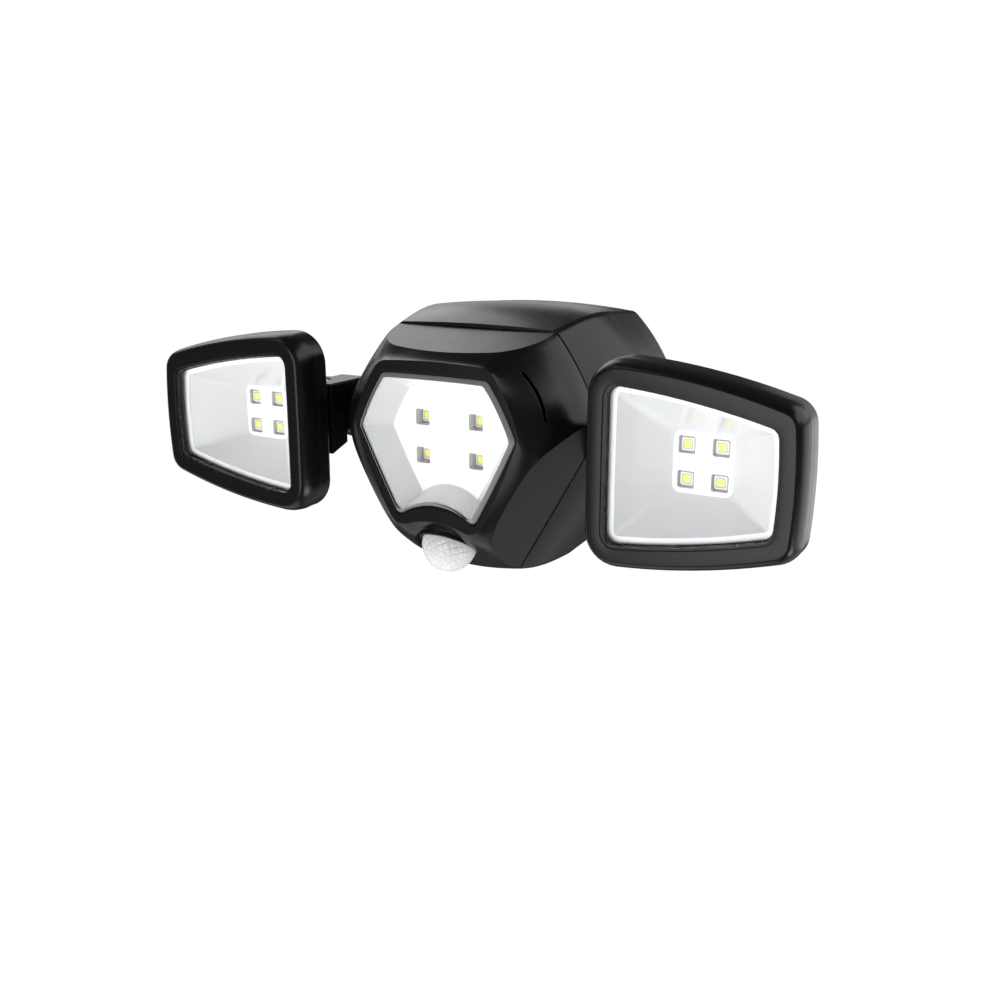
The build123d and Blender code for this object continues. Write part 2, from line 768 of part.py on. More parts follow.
def make_switch_knob():
    half = knob_wide / 2
    deep = knob_deep / 2
    knob = block(-half, half, switch_depth - deep, switch_depth + deep,
                 switch_floor - knob_proud, switch_floor + wall + knob_root)
    return fillet(knob.edges().group_by(Axis.Z)[0], knob_round)


def make_battery_tray():
    """An end plate with a ring of short saddles that hold the front ends of the cells."""
    radius = cell_radius + saddle_wall
    tray = Part()
    for x, z in cell_places:
        tray += disc(at(cell_front - saddle_long, x, z), radius, saddle_long + tray_front - cell_front)
    for sign in (-1, 1):
        near = sign * (cell_x + cell_radius + over)
        far = sign * wing_tip
        tray += block(min(near, far), max(near, far), wing_back, wing_back + wing_thick,
                      upper_cell_z - wing_below, upper_cell_z + wing_above)
    for x, z in at_corners(peg_pitch_x, peg_pitch_z):
        tray += disc(at(tray_front, x, z + cell_places[2][1]), peg_radius, peg_high)
    for x, z in cell_places:
        tray -= disc(at(tray_back, x, z), cell_radius + slip, -saddle_long - tray_gap - over)
    return tray


def make_cells():
    cells = []
    for x, z in cell_places:
        can = disc(at(cell_back, x, z), cell_radius, cell_long - cell_button_high)
        can = fillet(can.edges(), cell_edge)
        cells.append(can + disc(at(cell_front, x, z), cell_button_radius, -cell_button_high - over))
    return Compound(children=cells)


def make_contacts():
    plates = []
    back = cell_front + face_gap
    half = contact_half
    for x, z in cell_places:
        plates.append(block(x - half, x + half, back, back + contact_thick, z - half, z + half))
    return Compound(children=plates)


def make_springs():
    """Conical springs on the rear plate, with their turns drawn closed."""
    coils = []
    low = rear_plate_front + face_gap
    start = low + spring_base_thick
    high = cell_back - face_gap - start
    for x, z in cell_places:
        base = disc(at(low, x, z), spring_base_radius, spring_base_thick)
        nose = Solid.make_cone(spring_low_radius, spring_high_radius, high, at(start, x, z))
        low_inner = spring_low_radius - spring_wall
        hollow = Solid.make_cone(low_inner, spring_high_radius - spring_wall, high, at(start, x, z))
        coils.append(base + nose - hollow)
    return Compound(children=coils)


def make_control_board():
    front = control_back + board_thick
    return block(-control_half, control_half, control_back, front, control_foot, control_top)


def make_control_parts():
    front = control_back + board_thick
    pieces = []
    for (x0, x1, z0, z1), high in ((chip_box, chip_high), (relay_box, relay_high)):
        pieces.append(block(x0, x1, front, front + high, z0, z1))
    return Compound(children=pieces)


def make_rear_cover():
    rows = [reach(cover_row, cover_seam - face_gap), reach(rim_row, bracket_top + face_gap)]
    shell = body_solid(rows)
    hollow = body_solid([reach(cover_row, cover_seam + over), reach(rim_row, rear_plate_front)], wall)
    shell -= hollow
    shell -= seal_ring(cover_seam - seal_deep, seal_deep + over, -seal_play)
    foot = rear_plate_front - over
    for x, z in rear_screw_places:
        shell += disc(at(foot, x, z), boss_radius, cover_seam - face_gap - foot)
        shell -= disc(at(0.0, x, z), screw_radius + screw_play, through)
        shell -= disc(at(0.0, x, z), screw_head_radius + slip, bracket_top + rear_counterbore)
    return shell


def seal_ring(depth, length, play):
    """The ring of the rear seal, or with a negative play the groove that holds it."""
    outer = extrude(body_face(reach(cover_row, depth), seal_inset + play), length)
    inner = body_face(reach(cover_row, depth - over), seal_inset + seal_wide - play)
    return outer - extrude(inner, length + 2 * over)


def make_cover_seal():
    return seal_ring(cover_seam - seal_deep + seal_play, seal_deep - 2 * seal_play, seal_play)


def make_wall_bracket():
    rows = [rim_row, wall_row]
    pan = body_solid(rows)
    pan -= body_solid([reach(rim_row, bracket_top + over), reach(wall_row, wall)], wall)
    for x, z in at_corners(wall_hole_x, wall_hole_z):
        pan -= disc(at(-over, x, z), wall_hole_radius, bracket_top)
    for x0, x1 in ((-notch_far, -notch_near), (notch_near, notch_far)):
        pan -= block(x0, x1, bracket_top - notch_deep, bracket_top + over, top_z, top_z + body_margin)
    return pan


# ---------------------------------------------------------------- arms and heads, right side
def make_lug_slot():
    """The room for a head's lug in an arm, open to the front and to the outside."""
    room = lug_radius + lug_room
    low = lug_foot - cheek_gap
    high = lug_top + cheek_gap - low
    lean = math.radians(pan_in)
    front = -pan_depth - lug_gate
    corners = [
        (pan_x - room, -pan_depth),
        (pan_x - room / math.cos(lean) - lug_gate * math.tan(lean), front),
        (pan_x + lug_gate, front),
        (pan_x + lug_gate, room - pan_depth),
        (pan_x, room - pan_depth),
    ]
    gate = make_face(Polyline(*corners, close=True))
    return pan_bar(low, room, high) + Pos(0, 0, low) * extrude(gate, high)


def make_arm():
    body = block(arm_inner, pan_x, arm_back, arm_front, arm_foot, arm_top)
    body += block(pan_x - over, pan_x + arm_tail, arm_back, pan_depth, arm_foot, arm_top)
    body += pan_bar(arm_foot, arm_front - pan_depth, arm_top - arm_foot)
    rise, run = arm_slope
    slope = Plane(origin=(0, -arm_front, arm_foot), z_dir=(0, rise, -math.hypot(rise, run)))
    body = split(body, bisect_by=slope, keep=Keep.BOTTOM)
    rims = body.edges().filter_by(lambda e: e.bounding_box().min.Z > arm_top - face_gap)
    body = chamfer(rims, arm_edge)
    reach_in = hub_end + swivel_washer_thick
    wide = hub_radius + pocket_gap
    pocket_back = arm_back - over
    pocket_foot = arm_foot - over
    body -= block(arm_inner - over, reach_in, pocket_back, tilt_depth, pocket_foot, tilt_z + wide)
    body -= block(arm_inner - over, reach_in, pocket_back, tilt_depth + wide, pocket_foot, tilt_z)
    body -= tilt_bar(arm_inner - over, wide, reach_in - arm_inner + over)
    body -= make_lug_slot()
    body += tilt_bar(spigot_end, spigot_radius, reach_in - spigot_end + over)
    head_room = pin_head_radius + pin_head_room
    body -= pan_bar(arm_top - pin_recess, head_room, pin_recess + over)
    body -= pan_bar(arm_foot + pin_recess, head_room, -pin_recess - over)
    body -= tilt_bar(spigot_end - over, screw_radius + screw_play, swivel_bore + over)
    return body - pan_bar(arm_foot - over, pan_pin_radius + running, through)


def make_swivel_washer():
    play = face_gap / 2
    ring_outer = tilt_bar(hub_end + play, hub_radius - pocket_gap, swivel_washer_thick - face_gap)
    return ring_outer - tilt_bar(hub_end - over, spigot_radius + slip, through)


def make_swivel_spring():
    """A wave spring, drawn as three rings joined by four short bridges."""
    low = spigot_end + face_gap
    free = hub_inner_end - face_gap - low
    step = (free - spring_turn) / 2
    coil = Part()
    for k in range(3):
        start = low + k * step
        turn = tilt_bar(start, swivel_cap_radius - pocket_gap, spring_turn)
        coil += turn - tilt_bar(start - over, spigot_radius + slip, spring_turn + 2 * over)
    for k in range(2):
        for turn in (0, 180):
            side = math.radians(turn + 90 * k)
            y = -tilt_depth + math.cos(side) * (spigot_radius + spring_shift)
            z = tilt_z + math.sin(side) * (spigot_radius + spring_shift)
            middle = low + k * step + free / 4
            coil += Pos(middle, y, z) * Box(free / 2, spring_bridge, spring_bridge)
    return coil


def make_swivel_cap():
    cap = tilt_bar(spigot_end, swivel_cap_radius, -swivel_cap_thick)
    return cap - tilt_bar(spigot_end + over, screw_radius + screw_play, -swivel_cap_thick - 2 * over)


def make_swivel_screw():
    base = spigot_end - swivel_cap_thick
    body = tilt_bar(base, screw_radius, swivel_screw_long)
    body += tilt_bar(base, screw_head_radius, -screw_head_high)
    slot = Box(2 * screw_slot_deep, 2 * screw_head_radius, 2 * screw_slot_half)
    return body - Pos(base - screw_head_high, -tilt_depth, tilt_z) * slot


def make_pan_pin():
    top = arm_top - pin_recess
    foot = arm_foot + pin_recess
    heads = pan_bar(top, pin_head_radius, pin_head_high) + pan_bar(foot, pin_head_radius, -pin_head_high)
    rims = heads.edges().group_by(Axis.Z)
    heads = fillet(rims[0] + rims[-1], pin_head_round)
    return pan_bar(foot, pan_pin_radius, top - foot) + heads


def make_pan_washers():
    play = face_gap / 2
    rings = []
    for z in (lug_top + play, lug_foot - cheek_gap + play):
        washer = pan_bar(z, lug_radius - lug_room, cheek_gap - face_gap)
        rings.append(washer - pan_bar(z - over, pan_pin_radius + slip, 3 * over))
    return Compound(children=rings)


def pod_face(depth, inset=0.0):
    """The outline of the pod behind a head's LED board, which narrows towards the back."""
    share = (head_back - depth) / (head_back - pod_back)
    corners = [
        (pod_inner + share * pod_slant, pod_half - share * pod_draft),
        (pod_outer - share * pod_draft, pod_half - share * pod_draft),
        (pod_outer - share * pod_draft, -pod_half + share * pod_draft),
        (pod_inner + share * pod_slant, -pod_half + share * pod_draft),
    ]
    return at(depth) * outline(corners, pod_bows, [pod_radius] * 4, inset)


def make_lug():
    """The lug of a head, from the pan axis to the back of the shell."""
    tongue = block(pan_x - lug_radius, pan_x + lug_radius, pan_depth, head_back + over, lug_foot, lug_top)
    return tongue + pan_bar(lug_foot, lug_radius, lug_top - lug_foot)


def make_head_shell():
    dish = extrude(head_face(head_back), head_seam - head_back)
    dish = fillet(dish.edges().group_by(Axis.Y)[-1], head_back_round)
    rim_inset = head_wall + slip
    tongue = extrude(head_face(head_seam - over, rim_inset), tongue_high + over)
    shell = dish + tongue
    floor = head_back + head_wall
    shell -= extrude(head_face(floor, rim_inset + tongue_wall), head_front - floor)
    shell += loft([pod_face(head_back + over), pod_face(pod_back)])
    shell += make_lug()
    shell -= loft([pod_face(floor + over, pod_wall), pod_face(pod_back + pod_wall, pod_wall)])
    shell -= pan_bar(lug_foot - over, pan_pin_radius + running, through)
    peg_foot = pod_back + over
    for x, z in at_corners(peg_x, peg_z, head_centre + peg_shift):
        shell += disc(at(peg_foot, x, z), head_peg_radius, head_board_back - face_gap - peg_foot)
    for x, z in head_screw_places:
        shell -= disc(at(head_back - over, x, z), screw_radius + screw_play, head_wall + 2 * over)
        shell -= disc(at(floor, x, z), head_post_radius + slip, head_front - floor)
    return shell


def make_bezel():
    frame = extrude(head_face(head_seam + face_gap), head_front - head_seam - face_gap)
    frame = fillet(frame.edges().group_by(Axis.Y)[0], head_edge_round)
    frame -= extrude(head_face(head_seam, head_wall), pane_back - head_seam)
    frame -= extrude(pane_face(head_seam), head_front - head_seam + over)
    slope_end = head_front - window_straight
    frame -= loft([pane_face(pane_back, -gasket_show), pane_face(slope_end, -pane_step)])
    frame -= extrude(pane_face(slope_end, -pane_step - pane_ledge), window_straight + over)
    seat_back = head_lens_back - seat_clear
    frame -= extrude(pane_face(seat_back, -head_lens_overlap - slip), pane_back - seat_back)
    foot = head_back + head_wall
    for x, z in head_screw_places:
        frame += disc(at(foot + face_gap, x, z), head_post_radius, pane_back + window_straight - foot)
        frame -= disc(at(foot, x, z), screw_radius + screw_play, head_screw_long - over)
    return frame


def make_head_gasket():
    play = face_gap / 2
    sheet = extrude(pane_face(head_lens_front + play, -head_lens_overlap), head_gasket_thick - face_gap)
    return sheet - extrude(pane_face(head_lens_front - over, -head_gasket_mouth), pane_lip)


def make_head_lens():
    return extrude(pane_face(head_lens_back + face_gap, -head_lens_overlap), head_lens_thick - face_gap)


def make_head_reflector():
    rim = extrude(pane_face(head_rim_back, -head_lens_overlap), reflector_wall)
    outer_width = head_floor_width + 2 * reflector_wall
    outer_radius = head_bowl_radius + reflector_wall
    outer = loft([
        pane_face(head_rim_back + reflector_wall / 2, ring_width - reflector_wall),
        floor_face(head_floor - reflector_wall, outer_width, outer_radius),
    ])
    inner = loft([
        pane_face(head_lens_back, ring_width),
        floor_face(head_floor, head_floor_width, head_bowl_radius),
    ])
    floor_back = head_floor - head_floor_thick
    floor_block = floor_face(floor_back, outer_width, outer_radius)
    body = rim + outer + extrude(floor_block, head_floor_thick - reflector_wall + led_edge) - inner
    half = led_window / 2
    for x, z in at_corners(head_led_pitch, head_led_pitch, head_centre):
        body -= block(x - half, x + half, floor_back - over, head_floor + over, z - half, z + half)
    return body


def make_head_board():
    near = head_centre - head_board_in
    far = head_centre + head_board_out
    plate = block(near, far, head_board_back, head_board_front, -head_board_half, head_board_half)
    return fillet(plate.edges().filter_by(Axis.Y), head_board_radius)


parts = {}


def add(name, shape):
    shape.label = name
    parts[name] = shape


add("front_cover", make_front_cover())
add("center_lens_gasket", make_centre_gasket())
add("center_lens", make_centre_lens())
add("center_reflector", make_centre_reflector())
add("center_led_board", make_centre_board())
centre_leds = at_corners(led_pitch_x, led_pitch_z)
add("center_leds", Compound(children=[make_led(x, z, led_top) for x, z in centre_leds]))
add("center_phosphors", Compound(children=[make_die(x, z, led_top) for x, z in centre_leds]))
add("pir_lens", make_sensor_dome())
add("pir_retainer", make_sensor_retainer())
add("pir_board", make_sensor_board())
add("pir_sensor", make_sensor_can())
add("housing", make_housing())
add("mode_switch", make_switch_body())
add("mode_switch_knob", make_switch_knob())
add("battery_tray", make_battery_tray())
add("batteries", make_cells())
add("battery_contacts", make_contacts())
add("battery_springs", make_springs())
add("control_board", make_control_board())
add("control_parts", make_control_parts())
add("rear_cover", make_rear_cover())
add("rear_cover_seal", make_cover_seal())
add("wall_bracket", make_wall_bracket())
front_seat = front_seam - front_post_back - face_gap
front_screws = [screw(x, z, front_seat, front_seat + front_screw_long) for x, z in front_screw_places]
add("front_cover_screws", Compound(children=front_screws))
rear_seat = bracket_top + rear_counterbore
rear_screws = [screw(x, z, rear_seat, cover_seam + rear_screw_tip) for x, z in rear_screw_places]
add("rear_cover_screws", Compound(children=rear_screws))

head_pieces = {
    "arm": make_arm(),
    "swivel_washer": make_swivel_washer(),
    "swivel_spring": make_swivel_spring(),
    "swivel_cap": make_swivel_cap(),
    "swivel_screw": make_swivel_screw(),
    "pan_pin": make_pan_pin(),
    "pan_washers": make_pan_washers(),
    "head_shell": make_head_shell(),
    "head_bezel": make_bezel(),
    "head_gasket": make_head_gasket(),
    "head_lens": make_head_lens(),
    "head_reflector": make_head_reflector(),
    "head_board": make_head_board(),
}
head_leds = at_corners(head_led_pitch, head_led_pitch, head_centre)
head_pieces["head_leds"] = Compound(children=[make_led(x, z, head_led_top) for x, z in head_leds])
head_pieces["head_phosphors"] = Compound(children=[make_die(x, z, head_led_top) for x, z in head_leds])
head_seat = head_back - face_gap / 2
head_screws = [screw(x, z, head_seat, head_seat + head_screw_long) for x, z in head_screw_places]
head_pieces["head_screws"] = Compound(children=head_screws)
for name, shape in head_pieces.items():
    add("right_" + name, shape)
    add("left_" + name, mirror(shape, about=Plane.YZ))

for name, shape in parts.items():
    export_step(shape, os.path.join("parts", name + ".step"))
print(len(parts), "nodes")
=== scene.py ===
"""The looks of a wall light with a motion sensor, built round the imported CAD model.

Everything is in metres in the CAD's own frame: X to the right, -Y towards the viewer, +Z up, with the wall
face at Y = 0. A depth is a distance in front of the wall. CAD nodes whose shape is right keep it and get a
material here. The bezels, reflectors, LEDs and the sensor's dome are replaced by finer meshes that ride on
the same bodies, and each LED gets a thin frame round its die. Sizes of shapes are given in millimetres.
"""

import math

import bmesh
import bpy
from mathutils import Matrix, Vector
from mathutils.geometry import delaunay_2d_cdt


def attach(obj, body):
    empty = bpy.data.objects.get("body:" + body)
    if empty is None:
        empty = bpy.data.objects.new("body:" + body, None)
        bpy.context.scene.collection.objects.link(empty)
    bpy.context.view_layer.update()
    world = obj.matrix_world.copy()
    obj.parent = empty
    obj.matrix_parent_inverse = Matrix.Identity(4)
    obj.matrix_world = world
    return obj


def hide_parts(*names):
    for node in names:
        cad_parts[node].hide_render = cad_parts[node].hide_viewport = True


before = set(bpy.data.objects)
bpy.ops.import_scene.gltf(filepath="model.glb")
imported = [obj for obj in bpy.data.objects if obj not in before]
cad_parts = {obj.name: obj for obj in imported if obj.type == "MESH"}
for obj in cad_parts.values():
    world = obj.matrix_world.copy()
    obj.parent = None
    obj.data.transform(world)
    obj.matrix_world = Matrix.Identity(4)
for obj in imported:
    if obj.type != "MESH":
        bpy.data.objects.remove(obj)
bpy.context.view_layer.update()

MM = 0.001

# ---------------------------------------------------------------- materials
# Grain sizes and depths are in millimetres. Colours are linear.
EVEN = (1.0, 1.0, 1.0)      # stretch of a grain that is the same in all directions
EDGE_SAMPLES = 4
ROUNDING_SAMPLES = 6
EDGE_RADIUS = 0.35          # edges sharper than this wear
WORN_TURN = 0.86            # cosine of the turn at an edge that is fully worn
PLAIN_TURN = 0.99           # and at one that isn't worn at all
WEAR = (0.1, 0.35)          # least and greatest share of the worn colour on an edge
POLISH = 0.1                # how much less rough a worn edge is
CLOUD_SIZE = 14.0           # of the cloudy gloss on moulded plastic
CLOUD_DETAIL = 3.0
CLOUD_GLOSS = 0.02          # how far the clouds change its roughness
WHITE_CLOUD = 9.0           # the same for the stippled white
WHITE_GLOSS = 0.03
DOT_RISE = (0.1, 0.45)      # where a dot's slope starts and ends, as shares of the pitch
DOT_STRENGTH = 0.6
LENS_INDEX = 1.2
LENS_WAVES = 9.0            # faint waves of the clear lenses
LENS_WAVE_DEPTH = 0.02
LENS_WAVE_STRENGTH = 0.15
SCRATCH_SIZE = 0.5          # of the drawn scratches on plated steel
SCRATCH_STRETCH = (1.0, 1.0, 8.0)
SCRATCH_GLOSS = (-0.08, 0.12)
SCRATCH_DEPTH = 0.01
SCRATCH_STRENGTH = 0.5


def new_material(name, colour, roughness, **sockets):
    """A material with one shader, whose plain values are set on the shader's own sockets."""
    material = bpy.data.materials.new(name)
    material.use_nodes = True
    shader = material.node_tree.nodes["Principled BSDF"]
    shader.inputs["Base Color"].default_value = (*colour, 1.0)
    shader.inputs["Roughness"].default_value = roughness
    for socket, value in sockets.items():
        shader.inputs[socket.replace("_", " ")].default_value = value
    return material, material.node_tree, shader


def add_node(tree, kind, settings=None, **inputs):
    """A node with its settings, and its inputs given as values or as the sockets that feed them. An input
    is named, or numbered as i0, i1 and so on."""
    made = tree.nodes.new(kind)
    for key, value in (settings or {}).items():
        setattr(made, key, value)
    for key, value in inputs.items():
        socket = made.inputs[int(key[1:])] if key[0] == "i" and key[1:].isdigit() else made.inputs[key]
        if isinstance(value, bpy.types.NodeSocket):
            tree.links.new(value, socket)
        else:
            socket.default_value = value
    return made


def place_in(tree):
    """The place on the object that is shaded."""
    return add_node(tree, "ShaderNodeTexCoord").outputs["Object"]


def grain(tree, size, detail=2.0, stretch=EVEN):
    """A noise whose features are about that many millimetres across, as a socket from 0 to 1."""
    place = place_in(tree)
    if stretch != EVEN:
        place = add_node(tree, "ShaderNodeMapping", i0=place, Scale=stretch).outputs[0]
    noise = add_node(tree, "ShaderNodeTexNoise", Vector=place, Scale=1 / (size * MM), Detail=detail)
    return noise.outputs[0]


def spread(tree, value, low, high, start=0.25, end=0.75):
    """The value mapped from between start and end to between low and high."""
    made = add_node(tree, "ShaderNodeMapRange", i0=value, i1=start, i2=end, i3=low, i4=high)
    return made.outputs[0]


def combine(tree, operation, first, second):
    return add_node(tree, "ShaderNodeMath", {"operation": operation}, i0=first, i1=second).outputs[0]


def blend_colours(tree, share, first, second):
    """The first colour where the share is 0, and the second where it is 1."""
    kind = {"data_type": "RGBA"}
    return add_node(tree, "ShaderNodeMix", kind, i0=share, i6=(*first, 1.0), i7=(*second, 1.0)).outputs[2]


def softened(tree, samples, radius):
    """The normal with the edges rounded by that many millimetres."""
    return add_node(tree, "ShaderNodeBevel", {"samples": samples}, Radius=radius * MM).outputs[0]


def bumps(tree, shader, height, depth, strength=1.0, rounding=0.0):
    """Raises the surface by the height, whose full range is that many millimetres, and rounds its edges."""
    made = add_node(tree, "ShaderNodeBump", Strength=strength, Distance=depth * MM, Height=height)
    if rounding:
        tree.links.new(softened(tree, ROUNDING_SAMPLES, rounding), made.inputs["Normal"])
    tree.links.new(made.outputs[0], shader.inputs["Normal"])


def edges(tree):
    """1 on sharp edges, 0 on flat and gently curved places."""
    flat = add_node(tree, "ShaderNodeNewGeometry").outputs["Normal"]
    soft = softened(tree, EDGE_SAMPLES, EDGE_RADIUS)
    turn = add_node(tree, "ShaderNodeVectorMath", {"operation": "DOT_PRODUCT"}, i0=soft, i1=flat)
    return spread(tree, turn.outputs["Value"], 1.0, 0.0, WORN_TURN, PLAIN_TURN)


def moulded(name, colour, worn, roughness, grain_size, grain_depth, rounding=0.0, **sockets):
    """Moulded plastic: a fine etched grain, cloudy gloss and slightly polished edges."""
    material, tree, shader = new_material(name, colour, roughness, **sockets)
    cloud = grain(tree, CLOUD_SIZE, CLOUD_DETAIL)
    share = combine(tree, "MULTIPLY", edges(tree), spread(tree, cloud, *WEAR))
    tree.links.new(blend_colours(tree, share, colour, worn), shader.inputs["Base Color"])
    gloss = spread(tree, cloud, roughness - CLOUD_GLOSS, roughness + CLOUD_GLOSS)
    gloss = combine(tree, "SUBTRACT", gloss, spread(tree, share, 0.0, POLISH, 0.0, 1.0))
    tree.links.new(gloss, shader.inputs["Roughness"])
    bumps(tree, shader, grain(tree, grain_size), grain_depth, rounding=rounding)
    return material


def stippled(name, colour, worn, roughness, pitch, depth):
    """Glossy white plastic with rows of fine round dots pressed into it."""
    material, tree, shader = new_material(name, colour, roughness)
    cloud = grain(tree, WHITE_CLOUD)
    tree.links.new(blend_colours(tree, cloud, colour, worn), shader.inputs["Base Color"])
    gloss = spread(tree, cloud, roughness - WHITE_GLOSS, roughness + WHITE_GLOSS)
    tree.links.new(gloss, shader.inputs["Roughness"])
    dots = add_node(tree, "ShaderNodeTexVoronoi", Vector=place_in(tree), Scale=1 / (pitch * MM),
                    Randomness=0.0)
    height = spread(tree, dots.outputs["Distance"], 0.0, 1.0, *DOT_RISE)
    bumps(tree, shader, height, depth, DOT_STRENGTH)
    return material


def clear_plastic(name, colour, roughness):
    """Clear lens plastic that lets the lamps' light through to what is behind it."""
    material, tree, shader = new_material(name, colour, roughness, Transmission_Weight=1.0, IOR=LENS_INDEX)
    bumps(tree, shader, grain(tree, LENS_WAVES, 1.0), LENS_WAVE_DEPTH, LENS_WAVE_STRENGTH)
    clear = add_node(tree, "ShaderNodeBsdfTransparent").outputs[0]
    shadow = add_node(tree, "ShaderNodeLightPath").outputs["Is Shadow Ray"]
    both = add_node(tree, "ShaderNodeMixShader", i0=shadow, i1=shader.outputs[0], i2=clear)
    tree.links.new(both.outputs[0], tree.nodes["Material Output"].inputs["Surface"])
    return material


def plated(name, colour, roughness):
    """Plated steel with fine drawn scratches."""
    material, tree, shader = new_material(name, colour, roughness, Metallic=1.0)
    fine = grain(tree, SCRATCH_SIZE, CLOUD_DETAIL, SCRATCH_STRETCH)
    smoother, rougher = SCRATCH_GLOSS
    tree.links.new(spread(tree, fine, roughness + smoother, roughness + rougher), shader.inputs["Roughness"])
    bumps(tree, shader, fine, SCRATCH_DEPTH, SCRATCH_STRENGTH)
    return material


def grey(level):
    return (level, level, level)


BLACK = (0.0045, 0.0045, 0.0048)
BLACK_WORN = (0.009, 0.009, 0.0095)
DOME_GLOW = {"Subsurface_Weight": 0.3, "Subsurface_Radius": (0.003, 0.003, 0.003)}

# Each row: colour, worn colour, roughness, size and depth of the grain, and rounding of the edges.
MOULDED = {
    "satin_black": (BLACK, BLACK_WORN, 0.27, 0.32, 0.002, 0.35),
    "fine_black": (BLACK, BLACK_WORN, 0.27, 0.32, 0.002),
    "dark_plastic": ((0.012, 0.012, 0.013), grey(0.03), 0.4, 0.4, 0.006, 0.2),
    "white_panel": (grey(0.95), grey(0.95), 0.3, 0.5, 0.002),
    # The clear centre lens's bevel is painted grey: painted shade in place of the darker view that refraction
    # gives through it, and lighter on its sharp edges.
    "lens_bevel_painted_shade": ((0.3, 0.3, 0.305), grey(0.5), 0.22, 0.5, 0.004),
    "led_package": (grey(0.93), grey(0.95), 0.35, 0.2, 0.002),
    "led_frame": ((0.45, 0.47, 0.62), (0.5, 0.52, 0.65), 0.3, 0.2, 0.002),
    "phosphor": ((0.96, 0.84, 0.16), (0.96, 0.86, 0.3), 0.4, 0.3, 0.004),
    "circuit_board": (grey(0.62), grey(0.7), 0.42, 0.25, 0.004),
    "white_plastic": ((0.70, 0.70, 0.67), (0.76, 0.76, 0.74), 0.42, 0.3, 0.006),
    "rubber": (grey(0.02), grey(0.03), 0.6, 0.2, 0.01),
    "grey_rubber": ((0.075, 0.075, 0.078), grey(0.1), 0.35, 0.3, 0.004),
    "cell_jacket": ((0.05, 0.055, 0.065), grey(0.12), 0.3, 0.8, 0.002),
}

LOOKS = {name: moulded(name, *values) for name, values in MOULDED.items()}
LOOKS["dome_plastic"] = moulded("dome_plastic", grey(0.86), grey(0.7), 0.25, 0.5, 0.002, **DOME_GLOW)
LOOKS["white_reflector"] = stippled("white_reflector", grey(0.77), grey(0.74), 0.1, 1.1, 0.012)
LOOKS["steel"] = plated("steel", (0.56, 0.56, 0.57), 0.32)
LOOKS["clear_lens"] = clear_plastic("clear_lens", (0.98, 0.99, 1.0), 0.02)

# ---------------------------------------------------------------- materials of the CAD nodes
# The first word that is in a node's name decides.
LOOK_WORDS = (
    ("phosphors", "phosphor"),
    ("leds", "led_package"),
    ("led_board", "circuit_board"),
    ("head_board", "circuit_board"),
    ("control_board", "circuit_board"),
    ("pir_board", "circuit_board"),
    ("reflector", "white_reflector"),
    ("pir_lens", "dome_plastic"),
    ("center_lens_gasket", "grey_rubber"),
    ("head_gasket", "rubber"),
    ("seal", "rubber"),
    ("center_lens", "clear_lens"),
    ("head_lens", "clear_lens"),
    ("batteries", "cell_jacket"),
    ("contacts", "steel"),
    ("spring", "steel"),
    ("screw", "steel"),
    ("pin", "steel"),
    ("sensor", "steel"),
    ("washer", "white_plastic"),
    ("control_parts", "dark_plastic"),
    ("tray", "dark_plastic"),
    ("retainer", "dark_plastic"),
    ("mode_switch", "dark_plastic"),
)
BEVEL_START = 101.8     # depth from which the sides of the centre lens are its bevelled edge
FLAT_ENOUGH = 0.97      # least share of a flat face's normal along the depth


def look_of(node_name):
    for word, look in LOOK_WORDS:
        if word in node_name:
            return look
    return "satin_black"


def give_second_look(mesh, look, wanted):
    """Gives the faces for which the test holds a second material."""
    mesh.materials.append(LOOKS[look])
    for face in mesh.polygons:
        if wanted(face):
            face.material_index = 1


def is_flat(face):
    return abs(face.normal.y) > FLAT_ENOUGH


def on_bevel(face):
    """Whether a face of the centre lens lies on its bevelled edge."""
    return -face.center.y > BEVEL_START * MM and abs(face.normal.y) < FLAT_ENOUGH


for name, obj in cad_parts.items():
    obj.data.materials.clear()
    obj.data.materials.append(LOOKS[look_of(name)])
# The bevelled sides of the centre lens get the grey painted shade instead of the clear plastic.
give_second_look(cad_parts["center_lens"].data, "lens_bevel_painted_shade", on_bevel)

# ---------------------------------------------------------------- outlines
# An outline is a list of corners in X and Z, run clockwise as seen from the front, with the outward bow of
# the side after each corner and the radius of each corner. All outlines of a shape have the same number of
# points, so that they can be joined point by point.
SIDE_STEPS = 12
CORNER_STEPS = 8
LEAST_RADIUS = 0.6
LEAST_BOW = 1e-6        # a side with less is straight


def moved_in(corners, inset):
    """The corners with every side moved inward."""
    moved = []
    for k, here in enumerate(corners):
        run_in = (here - corners[k - 1]).normalized()
        run_out = (corners[(k + 1) % len(corners)] - here).normalized()
        normals = Vector((run_in.y + run_out.y, -run_in.x - run_out.x))
        moved.append(here + normals * (inset / (1 + run_in.dot(run_out))))
    return moved


def on_side(start, end, bow, share):
    """The point and the direction at a share of the way along a side."""
    run = end - start
    along = run.normalized()
    outward = Vector((-along.y, along.x))
    if abs(bow) < LEAST_BOW:
        return start + run * share, along
    half_turn = 2 * math.atan(2 * bow / run.length)
    radius = run.length / 2 / math.sin(half_turn)
    angle = (2 * share - 1) * half_turn
    height = radius * (math.cos(angle) - math.cos(half_turn))
    point = (start + end) / 2 + along * (radius * math.sin(angle)) + outward * height
    return point, along * math.cos(angle) - outward * math.sin(angle)


def curve_point(ends, share):
    """A point on a cubic curve."""
    a, b, c, d = ends
    rest = 1 - share
    return a * rest**3 + b * (3 * rest**2 * share) + c * (3 * rest * share**2) + d * share**3


